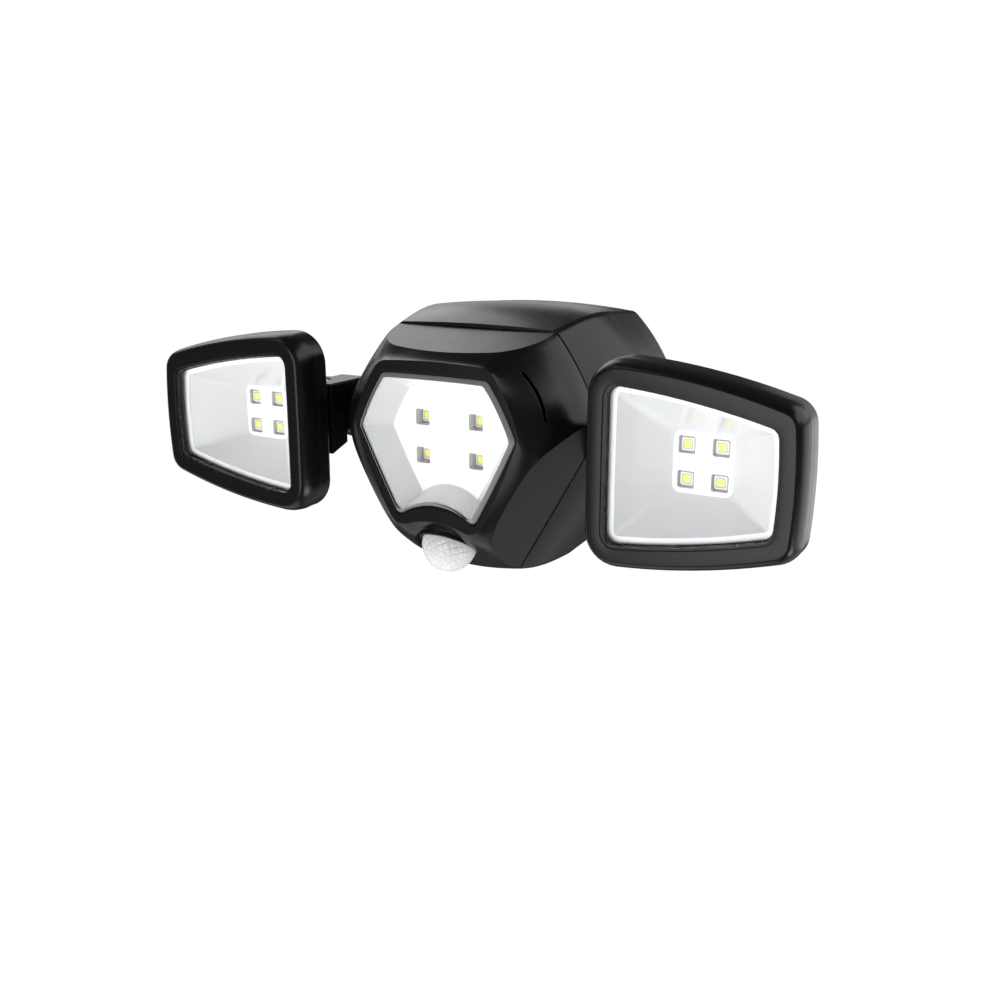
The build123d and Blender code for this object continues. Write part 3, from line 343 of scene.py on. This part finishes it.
def outline(corners, bows, radii, inset=0.0, shrink=1.0):
    """The points of an outline with bowed sides and rounded corners."""
    corners = [corner * shrink for corner in moved_in([Vector(corner) for corner in corners], inset)]
    bows = [bow * shrink for bow in bows]
    radii = [max(radius - inset, LEAST_RADIUS) for radius in radii]
    count = len(corners)
    turns = []
    for k, here in enumerate(corners):
        run_in = on_side(corners[k - 1], here, bows[k - 1], 1.0)[1]
        run_out = on_side(here, corners[(k + 1) % count], bows[k], 0.0)[1]
        turns.append(run_in.angle(run_out))
    trims = [radius * math.tan(turn / 2) for radius, turn in zip(radii, turns)]
    points = []
    for k, here in enumerate(corners):
        before, after = corners[k - 1], corners[(k + 1) % count]
        first = trims[k] / (after - here).length
        last = 1 - trims[(k + 1) % count] / (after - here).length
        start, run_in = on_side(before, here, bows[k - 1], 1 - trims[k] / (here - before).length)
        end, run_out = on_side(here, after, bows[k], first)
        handle = 4 / 3 * math.tan(turns[k] / 4) * radii[k]
        ends = (start, start + run_in * handle, end - run_out * handle, end)
        points += [curve_point(ends, step / CORNER_STEPS) for step in range(CORNER_STEPS + 1)]
        for step in range(1, SIDE_STEPS):
            points.append(on_side(here, after, bows[k], first + (last - first) * step / SIDE_STEPS)[0])
    return points


def square(x, z, width, radius):
    half = width / 2
    corners = [(x - half, z + half), (x + half, z + half), (x + half, z - half), (x - half, z - half)]
    return outline(corners, (0.0,) * 4, (radius,) * 4)


HEAD_CORNERS = [(69.5, 42.3), (155.0, 28.5), (155.0, -28.5), (69.5, -42.3)]
HEAD_BOWS = (3.3, 1.48, 3.3, 0.3)
HEAD_RADII = (15.0, 10.0, 10.0, 15.0)
PANE_CORNERS = [(80.0, 31.0), (145.0, 19.7), (145.0, -19.7), (80.0, -31.0)]
PANE_BOWS = (1.7, 0.9, 1.7, 0.2)
PANE_RADII = (4.0,) * 4
WINDOW_CORNERS = [(-26.0, 28.7), (26.0, 28.7), (39.2, 4.7), (19.1, -33.9), (-19.1, -33.9), (-39.2, 4.7)]
WINDOW_BOWS = (0.4, 0.8, 0.4, -6.5, 0.4, 0.8)
WINDOW_RADII = (3.0,) * 6


def head_line(inset):
    """The outside of a head, moved in."""
    return outline(HEAD_CORNERS, HEAD_BOWS, HEAD_RADII, inset)


def pane_line(inset):
    """The edge of a head's clear pane, moved in."""
    return outline(PANE_CORNERS, PANE_BOWS, PANE_RADII, inset)


def window_line(inset, shrink=1.0):
    """The edge of the centre window, moved in and shrunk about the light's axis."""
    return outline(WINDOW_CORNERS, WINDOW_BOWS, WINDOW_RADII, inset, shrink)


# ---------------------------------------------------------------- meshes
WELD = 1e-7             # metres
SMOOTH_ANGLE = 28.0     # faces that meet at less are shaded as one, in degrees
BOWL_ANGLE = 24.0
DOME_ANGLE = 60.0
FILL_PLAIN = 1          # kinds of triangulation: all that is inside the outer ring
FILL_WITH_HOLES = 4     # and with the edges of the holes kept
FILL_WELD = 1e-6


def spot(point, depth, side=1):
    """A point of an outline at a depth, in metres, on the right side or mirrored to the left."""
    return Vector((side * point.x, -depth, point.y)) * MM


def spots(line, depth, side):
    return [spot(point, depth, side) for point in line]


def finish_mesh(name, bm, look, smooth_angle=SMOOTH_ANGLE):
    """Turns the built faces into a piece with the look's material and its smooth shading."""
    bmesh.ops.remove_doubles(bm, verts=bm.verts, dist=WELD)
    bmesh.ops.recalc_face_normals(bm, faces=bm.faces)
    mesh = bpy.data.meshes.new(name)
    bm.to_mesh(mesh)
    bm.free()
    mesh.shade_smooth()
    mesh.set_sharp_from_angle(angle=math.radians(smooth_angle))
    mesh.materials.append(LOOKS[look])
    obj = bpy.data.objects.new(name, mesh)
    bpy.context.scene.collection.objects.link(obj)
    return obj


def join_rows(bm, rows, closed=False):
    """Skins a list of point loops of the same length. A closed list joins its last loop to its first."""
    loops = [[bm.verts.new(point) for point in row] for row in rows]
    pairs = list(zip(loops, loops[1:])) + ([(loops[-1], loops[0])] if closed else [])
    for low, high in pairs:
        for k in range(len(low)):
            after = (k + 1) % len(low)
            bm.faces.new((low[k], low[after], high[after], high[k]))
    return loops


def cap_at(bm, loop, point):
    """Closes a loop with a fan of faces that meet at a point."""
    tip = bm.verts.new(point)
    for k in range(len(loop)):
        bm.faces.new((loop[k], loop[(k + 1) % len(loop)], tip))


def inside(point, ring):
    """Whether a point lies inside a closed ring of points."""
    crossings = 0
    for k, a in enumerate(ring):
        b = ring[k - 1]
        if (a.y > point.y) != (b.y > point.y):
            if point.x < a.x + (point.y - a.y) * (b.x - a.x) / (b.y - a.y):
                crossings += 1
    return crossings % 2 == 1


def middle_in_hole(corners, holes):
    """Whether a small face lies inside one of the holes."""
    middle = sum(corners, Vector((0.0, 0.0))) / len(corners)
    return any(inside(middle, hole) for hole in holes)


def fill_flat(bm, outer, holes, depth, side):
    """A flat face inside an outline, with holes, at a depth."""
    points = list(outer)
    rings = [list(range(len(outer)))]
    for hole in holes:
        rings.append(list(range(len(points), len(points) + len(hole))))
        points += hole
    rims = []
    for ring in rings:
        rims += [(ring[k], ring[(k + 1) % len(ring)]) for k in range(len(ring))]
    kind = FILL_WITH_HOLES if holes else FILL_PLAIN
    found, _, faces, *_ = delaunay_2d_cdt(points, rims, [], kind, FILL_WELD)
    verts = [bm.verts.new(spot(point, depth, side)) for point in found]
    for face in faces:
        if not holes or not middle_in_hole([found[k] for k in face], holes):
            bm.faces.new([verts[k] for k in face])


def quarter(inset0, depth0, inset1, depth1, steps, hollow=False):
    """Pairs of inset and depth on a quarter of an ellipse, which leaves the first pair along the depth, or
    square to it where the ellipse is hollow."""
    pairs = []
    for step in range(steps + 1):
        angle = math.pi / 2 * step / steps
        share_in = math.sin(angle) if hollow else 1 - math.cos(angle)
        share_deep = 1 - math.cos(angle) if hollow else math.sin(angle)
        pairs.append((inset0 + (inset1 - inset0) * share_in, depth0 + (depth1 - depth0) * share_deep))
    return pairs


def place_piece(obj, body, slot, *nodes):
    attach(obj, body)
    if nodes:
        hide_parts(*nodes)


# ---------------------------------------------------------------- bezels of the heads
# Insets are from the head's outside or from the edge of its pane, and grow inward.
HEAD_FRONT = 104.0
HEAD_SEAM = 92.7
SEAM_EDGE = 0.15        # softened edge at the seam
HEAD_STRAIGHT = 1.0     # straight part in front of the seam
HEAD_ROUND = 3.8        # width of the front rounding, which runs back to the straight part
HEAD_STEPS = 20
OPENING = -1.9          # inset of the front opening's edge from the pane
OPENING_EDGE = 0.3      # width and depth of its softened edge
OPENING_EDGE_DEEP = 0.25
OPENING_STEPS = 4
LEDGE = -1.1            # inset of the ledge's inner edge
LEDGE_DEPTH = 103.45
LEDGE_FOOT = 0.1        # softened corner behind the opening
LEDGE_EDGE = 0.15
LEDGE_STEPS = 3
SLOPE_START = LEDGE + 0.05
SLOPE_DROP = 0.4        # from the ledge to the start of the slope down to the pane
SLOPE_STEPS = 5
PANE_BACK = 100.6
PANE_EDGE = -0.3        # inset of the slope's end from the pane
PANE_REVEAL = 0.15
BEZEL_WALL = 2.3


def build_bezel(name, side):
    """The head's front frame, with a soft outer rounding and a stepped opening."""
    outside = [(SEAM_EDGE, HEAD_SEAM), (0.0, HEAD_SEAM + SEAM_EDGE)]
    outside += quarter(0.0, HEAD_SEAM + HEAD_STRAIGHT, HEAD_ROUND, HEAD_FRONT, HEAD_STEPS)
    opening = quarter(OPENING - OPENING_EDGE, HEAD_FRONT, OPENING, HEAD_FRONT - OPENING_EDGE_DEEP,
                      OPENING_STEPS, True)
    opening += [(OPENING, LEDGE_DEPTH + LEDGE_FOOT), (OPENING + LEDGE_FOOT, LEDGE_DEPTH)]
    opening += quarter(LEDGE - LEDGE_EDGE, LEDGE_DEPTH, LEDGE, LEDGE_DEPTH - LEDGE_EDGE, LEDGE_STEPS, True)
    opening += quarter(SLOPE_START, LEDGE_DEPTH - SLOPE_DROP, PANE_EDGE, PANE_BACK + PANE_REVEAL, SLOPE_STEPS)
    opening += [(PANE_EDGE, PANE_BACK)]
    rows = [(head_line(inset), depth) for inset, depth in outside]
    rows += [(pane_line(inset), depth) for inset, depth in opening]
    rows += [(head_line(BEZEL_WALL), PANE_BACK), (head_line(BEZEL_WALL), HEAD_SEAM)]
    bm = bmesh.new()
    join_rows(bm, [spots(line, depth, side) for line, depth in rows], closed=True)
    return finish_mesh(name, bm, "fine_black")


# ---------------------------------------------------------------- reflectors
LED_WINDOW = 7.1
LED_WINDOW_RADIUS = 1.0
FLOOR_EDGE_DEEP = 0.25  # softened edge between a bowl and its floor

HEAD_CENTRE = 111.0
HEAD_PITCH = 14.0
HEAD_FLOOR = 80.4
HEAD_BACK = HEAD_FLOOR - 2.6
HEAD_RIM_BACK = 97.2
HEAD_LENS_BACK = 98.4
HEAD_FLANGE = -1.6
HEAD_MOUTH = ((1.75, 0.0), (1.93, 0.06), (2.0, 0.25))   # insets and drops of the bowl's lip
FIELD_WIDTH = 25.0
FIELD_RADIUS = 3.5
FIELD_EDGE = 0.3

CENTRE_PITCH_X = 27.0
CENTRE_PITCH_Z = 16.94
CENTRE_FLOOR = 90.0
CENTRE_BOARD = 84.6
CENTRE_RIM_BACK = 95.1
CENTRE_LENS_BACK = 96.3
CENTRE_MOUTH = 101.5    # depth of the bowl's mouth, just behind the raised lens
CENTRE_SHRINK = 0.80
CENTRE_FLANGE = -1.9
CENTRE_OUTSIDE = 1.35   # inset of the wall that reaches up into the lens
CENTRE_LIP = ((1.35, 0.1), (1.45, 0.0), (2.2, 0.0), (2.35, 0.05), (2.4, 0.2))
CENTRE_FLOOR_INSETS = (2.3, 2.4)


def led_places(pitch_x, pitch_z, x=0.0):
    return [(x + i * pitch_x / 2, j * pitch_z / 2) for i in (-1, 1) for j in (-1, 1)]


def build_reflector(name, side, flange, mouth, floor, leds, floor_depth, back_depth, rim_depth, lens_depth):
    """A white bowl with a flat rim, a flat floor and a window in the floor over each LED. The mouth is a
    list of lines with their drops behind the lens, and the floor a pair of lines."""
    bm = bmesh.new()
    rows = [(flange, rim_depth), (flange, lens_depth)]
    rows += [(line, lens_depth - drop) for line, drop in mouth]
    rows += [(floor[0], floor_depth + FLOOR_EDGE_DEEP), (floor[1], floor_depth)]
    join_rows(bm, [spots(line, depth, side) for line, depth in rows])
    windows = [square(x, z, LED_WINDOW, LED_WINDOW_RADIUS) for x, z in leds]
    fill_flat(bm, floor[1], windows, floor_depth, side)
    for window in windows:
        join_rows(bm, [spots(window, floor_depth, side), spots(window, back_depth, side)])
    fill_flat(bm, floor[1], windows, back_depth, side)
    join_rows(bm, [spots(floor[1], back_depth, side), spots(flange, rim_depth, side)])
    made = finish_mesh(name, bm, "white_reflector", BOWL_ANGLE)
    give_second_look(made.data, "white_panel", is_flat)
    return made


def build_head_reflector(name, side, leds):
    mouth = [(pane_line(inset), drop) for inset, drop in HEAD_MOUTH]
    widths = (FIELD_WIDTH + FIELD_EDGE, FIELD_WIDTH)
    floor = [square(HEAD_CENTRE, 0.0, width, FIELD_RADIUS) for width in widths]
    depths = (HEAD_FLOOR, HEAD_BACK, HEAD_RIM_BACK, HEAD_LENS_BACK)
    return build_reflector(name, side, pane_line(HEAD_FLANGE), mouth, floor, leds, *depths)


def build_centre_reflector(name, leds):
    rise = CENTRE_MOUTH - CENTRE_LENS_BACK
    mouth = [(window_line(CENTRE_OUTSIDE), 0.0)]
    mouth += [(window_line(inset), drop - rise) for inset, drop in CENTRE_LIP]
    floor = [window_line(inset, CENTRE_SHRINK) for inset in CENTRE_FLOOR_INSETS]
    depths = (CENTRE_FLOOR, CENTRE_BOARD, CENTRE_RIM_BACK, CENTRE_LENS_BACK)
    return build_reflector(name, 1, window_line(CENTRE_FLANGE), mouth, floor, leds, *depths)


# ---------------------------------------------------------------- LEDs
# Each look's row: width, corner radius, how far its back and its front lie behind the LED's top, and the
# size of its soft edge.
LED_SLABS = {
    "led_package": (5.2, 0.7, 1.5, 0.12, 0.15),
    "led_frame": (4.1, 0.6, 0.2, 0.04, 0.04),
    "phosphor": (3.3, 0.45, 0.1, 0.0, 0.03),
}
# Each row: look, slot, ending of the piece's name and of the CAD node that it replaces.
LED_PIECES = (
    ("led_package", "led_package", "_led_blocks", "_leds"),
    ("led_frame", "led_package", "_led_frames", None),
    ("phosphor", "phosphor", "_dies", "_phosphors"),
)
SLAB_SLOPE = (0.6, 0.3)     # inset and drop of the soft edge's middle, as shares of the edge
HEAD_LED_TOP = 79.1
CENTRE_LED_TOP = 86.0


def add_slab(bm, width, radius, x, z, back, front, side, edge):
    """A low square block with rounded corners and a softened front edge."""
    share_in, share_back = SLAB_SLOPE
    rows = [(width, back), (width, front - edge)]
    rows += [(width - share_in * edge, front - share_back * edge), (width - 2 * edge, front)]
    loops = join_rows(bm, [spots(square(x, z, size, radius), depth, side) for size, depth in rows])
    bm.faces.new(loops[0])
    bm.faces.new(loops[-1])


def build_slabs(name, look, side, leds, top):
    """The same slab of every LED of a lamp."""
    width, radius, back, front, edge = LED_SLABS[look]
    bm = bmesh.new()
    for x, z in leds:
        add_slab(bm, width, radius, x, z, top - back, top - front, side, edge)
    return finish_mesh(name, bm, look)


def place_leds(word, lamp, body, side, leds, top):
    for look, slot, ending, replaced in LED_PIECES:
        nodes = [lamp + replaced] if replaced else []
        place_piece(build_slabs(word + ending, look, side, leds, top), body, slot, *nodes)


# ---------------------------------------------------------------- sensor dome
DOME_PLACE = Vector((0.0, -91.0, -47.0))
DOME_RADIUS = 12.2
DOME_WALL = 0.9
DOME_TILT = math.radians(56.0)
DOME_PLAY = 0.01        # of the outer face inside the CAD dome's
DOME_FLANGE = 13.0
FLANGE_BACK = -1.2      # along the dome's axis
FLANGE_FRONT = -0.1
DOME_CELLS = 220        # on a whole sphere
CELL_DEEP = 0.22
CELL_EDGE = 0.42        # half width of the groove round a cell
CELL_FADE = 6           # the grooves are full from this part of the way up
DOME_TURNS = 200
DOME_RINGS = 60
HOLLOW_RINGS = 12


def cell_centres():
    """Evenly spread directions on a sphere."""
    golden = math.pi * (3 - math.sqrt(5))
    centres = []
    for k in range(DOME_CELLS):
        height = 1 - (2 * k + 1) / DOME_CELLS
        radius = math.sqrt(1 - height * height)
        centres.append(Vector((radius * math.cos(golden * k), radius * math.sin(golden * k), height)))
    return centres


def cell_groove(way, centres):
    """The depth of the grooves between the cells, in a direction from the dome's centre."""
    near = sorted(math.acos(max(-1.0, min(1.0, way.dot(centre)))) for centre in centres)[:2]
    border = min(1.0, (near[1] - near[0]) * DOME_RADIUS / CELL_EDGE / 2)
    return CELL_DEEP * (1 - border * border * (3 - 2 * border))


def build_dome(name):
    """The sensor's dome, with a honeycomb of small lenses in it, and its flange behind the collar."""
    axis = Vector((0.0, -math.cos(DOME_TILT), -math.sin(DOME_TILT)))
    across = Vector((1.0, 0.0, 0.0))
    up = axis.cross(across)
    centres = cell_centres()
    angles = [2 * math.pi * k / DOME_TURNS for k in range(DOME_TURNS)]
    inner = DOME_RADIUS - DOME_WALL
    outer = DOME_RADIUS - DOME_PLAY

    def loop(radius, along):
        """A ring round the axis."""
        ways = [across * math.cos(angle) + up * math.sin(angle) for angle in angles]
        return [(DOME_PLACE + axis * along + way * radius) * MM for way in ways]

    def outer_loop(share):
        """A ring of the grooved face, at a share of the way from the rim to the top."""
        made = []
        fade = min(1.0, share * CELL_FADE)
        low = math.pi / 2 * share
        for angle in angles:
            local = Vector((math.cos(angle) * math.cos(low), math.sin(angle) * math.cos(low), math.sin(low)))
            way = across * local.x + up * local.y + axis * local.z
            made.append((DOME_PLACE + way * (outer - cell_groove(local, centres) * fade)) * MM)
        return made

    rows = [loop(inner, FLANGE_BACK), loop(DOME_FLANGE, FLANGE_BACK), loop(DOME_FLANGE, FLANGE_FRONT)]
    rows += [loop(outer, FLANGE_FRONT)]
    rows += [outer_loop(k / DOME_RINGS) for k in range(DOME_RINGS)]
    bm = bmesh.new()
    cap_at(bm, join_rows(bm, rows)[-1], (DOME_PLACE + axis * DOME_RADIUS) * MM)
    rows = [loop(inner, FLANGE_BACK)]
    for k in range(HOLLOW_RINGS):
        low = math.pi / 2 * k / HOLLOW_RINGS
        rows.append(loop(inner * math.cos(low), inner * math.sin(low)))
    cap_at(bm, join_rows(bm, rows)[-1], (DOME_PLACE + axis * inner) * MM)
    return finish_mesh(name, bm, "dome_plastic", DOME_ANGLE)


# ---------------------------------------------------------------- the pieces on their bodies
head_leds = led_places(HEAD_PITCH, HEAD_PITCH, HEAD_CENTRE)
for side, word in ((1, "right"), (-1, "left")):
    body = word + "_head_body"
    place_piece(build_bezel(word + "_bezel_shape", side), body, "satin_black", word + "_head_bezel")
    bowl = build_head_reflector(word + "_bowl", side, head_leds)
    place_piece(bowl, body, "white_reflector", word + "_head_reflector")
    place_leds(word, word + "_head", body, side, head_leds, HEAD_LED_TOP)

centre_leds = led_places(CENTRE_PITCH_X, CENTRE_PITCH_Z)
bowl = build_centre_reflector("center_bowl", centre_leds)
place_piece(bowl, "light_body", "white_reflector", "center_reflector")
place_leds("center", "center", "light_body", 1, centre_leds, CENTRE_LED_TOP)
place_piece(build_dome("pir_dome"), "light_body", "dome_plastic", "pir_lens")

# ---------------------------------------------------------------- floor, light and camera
# Lights that only show in glossy surfaces draw the highlights. Others, which don't show there, fill the
# white bowls. A direction is from the light's middle, half sizes are in degrees, and the last value is how
# bright the light's face is.
WHITE = (1.0, 1.0, 1.0, 1.0)
FLOOR_Z = -0.6
FLOOR_SIZE = 30.0
FLOOR_GLOW = 0.95
FLOOR_GRAIN = 300.0
WORLD_SEEN = 1.0        # how bright the room is behind the object
WORLD_LIT = 0.08        # and how bright its light on the object is
LIGHT_DISTANCE = 2.5
GLOSS_LIGHTS = (
    ("front_box", (0.0, -0.98, -0.05), (20.0, 24.0), 1.45),
    ("front_below", (-0.33, -0.25, -0.9), (24.0, 28.0), 0.6),
    ("back_left_low", (-0.66, 0.72, 0.22), (20.0, 10.0), 0.55),
    ("back_up", (-0.68, 0.52, 0.56), (15.0, 14.0), 1.2),
    ("above", (-0.46, -0.4, 0.78), (14.0, 14.0), 0.42),
    ("right_wall_high", (0.85, 0.0, 0.53), (13.0, 13.0), 1.1),
    ("right_wall_low", (0.83, 0.0, -0.62), (14.0, 12.0), 2.6),
    ("right_back_near", (0.88, 0.46, -0.2), (9.0, 14.0), 0.55),
    ("right_back_far", (0.55, 0.82, -0.2), (20.0, 14.0), 0.85),
    ("right_back_up", (0.63, 0.56, 0.5), (22.0, 22.0), 0.9),
    ("right_below", (0.36, 0.56, -0.75), (22.0, 22.0), 0.22),
    ("left_wall", (-0.97, 0.0, -0.26), (16.0, 25.0), 0.5),
    ("behind", (0.15, 0.97, 0.0), (16.0, 20.0), 0.5),
)
FILL_LIGHTS = (
    ("bowl_fill", (-0.3, -0.92, -0.2), (20.0, 20.0), 1.75),
    ("right_fill", (0.85, -0.5, 0.0), (24.0, 24.0), 0.25),
)
CAMERA_PLACE = (0.2507, -0.4828, 0.0982)
CAMERA_AZIMUTH = 29.88
CAMERA_ELEVATION = 15.08
CAMERA_LENS = 39.668
CAMERA_SENSOR = 36.0
CAMERA_CLIP = (0.01, 100.0)


def build_floor():
    bpy.ops.mesh.primitive_plane_add(size=FLOOR_SIZE, location=(0.0, 0.0, FLOOR_Z))
    floor = bpy.context.object
    floor.name = "floor"
    material, tree, shader = new_material("floor_paint", grey(0.95), 0.9, Specular_IOR_Level=0.0,
                                          Emission_Color=WHITE, Emission_Strength=FLOOR_GLOW)
    tree.links.new(spread(tree, grain(tree, FLOOR_GRAIN), 0.85, 0.95), shader.inputs["Roughness"])
    floor.data.materials.append(material)
    floor.visible_glossy = False
    floor.visible_shadow = False


def build_world():
    """A pale room: its light on the object is much softer than the white that the camera sees behind it."""
    world = bpy.data.worlds.new("room")
    bpy.context.scene.world = world
    world.use_nodes = True
    tree = world.node_tree
    back = tree.nodes["Background"]
    back.inputs["Color"].default_value = WHITE
    back.inputs["Strength"].default_value = WORLD_LIT
    front = add_node(tree, "ShaderNodeBackground", Color=WHITE, Strength=WORLD_SEEN).outputs[0]
    seen = add_node(tree, "ShaderNodeLightPath").outputs["Is Camera Ray"]
    both = add_node(tree, "ShaderNodeMixShader", i0=seen, i1=back.outputs[0], i2=front)
    tree.links.new(both.outputs[0], tree.nodes["World Output"].inputs["Surface"])


def build_camera():
    around = math.radians(CAMERA_AZIMUTH)
    above = math.radians(CAMERA_ELEVATION)
    back = Vector((math.sin(around) * math.cos(above), -math.cos(around) * math.cos(above), math.sin(above)))
    right = Vector((math.cos(around), math.sin(around), 0.0))
    up = back.cross(right)
    camera = bpy.data.cameras.new("camera")
    camera.lens = CAMERA_LENS
    camera.sensor_width = CAMERA_SENSOR
    camera.clip_start, camera.clip_end = CAMERA_CLIP
    obj = bpy.data.objects.new("camera", camera)
    turned = Matrix((right, up, back)).transposed().to_4x4()
    obj.matrix_world = Matrix.Translation(CAMERA_PLACE) @ turned
    bpy.context.scene.collection.objects.link(obj)
    bpy.context.scene.camera = obj


def add_softbox(name, direction, half_sizes, luminance, glossy):
    """A rectangular light that faces the object, with the power that makes its face that bright. It shows
    either in glossy surfaces or on matt ones."""
    way = Vector(direction).normalized()
    sizes = [2 * LIGHT_DISTANCE * math.tan(math.radians(half)) for half in half_sizes]
    light = bpy.data.lights.new(name, "AREA")
    light.shape = "RECTANGLE"
    light.size, light.size_y = sizes
    light.energy = 4 * luminance * sizes[0] * sizes[1]
    obj = bpy.data.objects.new(name, light)
    obj.location = way * LIGHT_DISTANCE
    obj.rotation_euler = (-way).to_track_quat("-Z", "Y").to_euler()
    obj.visible_glossy = glossy
    obj.visible_diffuse = not glossy
    bpy.context.scene.collection.objects.link(obj)


build_floor()
build_world()
build_camera()
for row in GLOSS_LIGHTS:
    add_softbox(*row, glossy=True)
for row in FILL_LIGHTS:
    add_softbox(*row, glossy=False)
bpy.context.scene.view_settings.view_transform = "Standard"
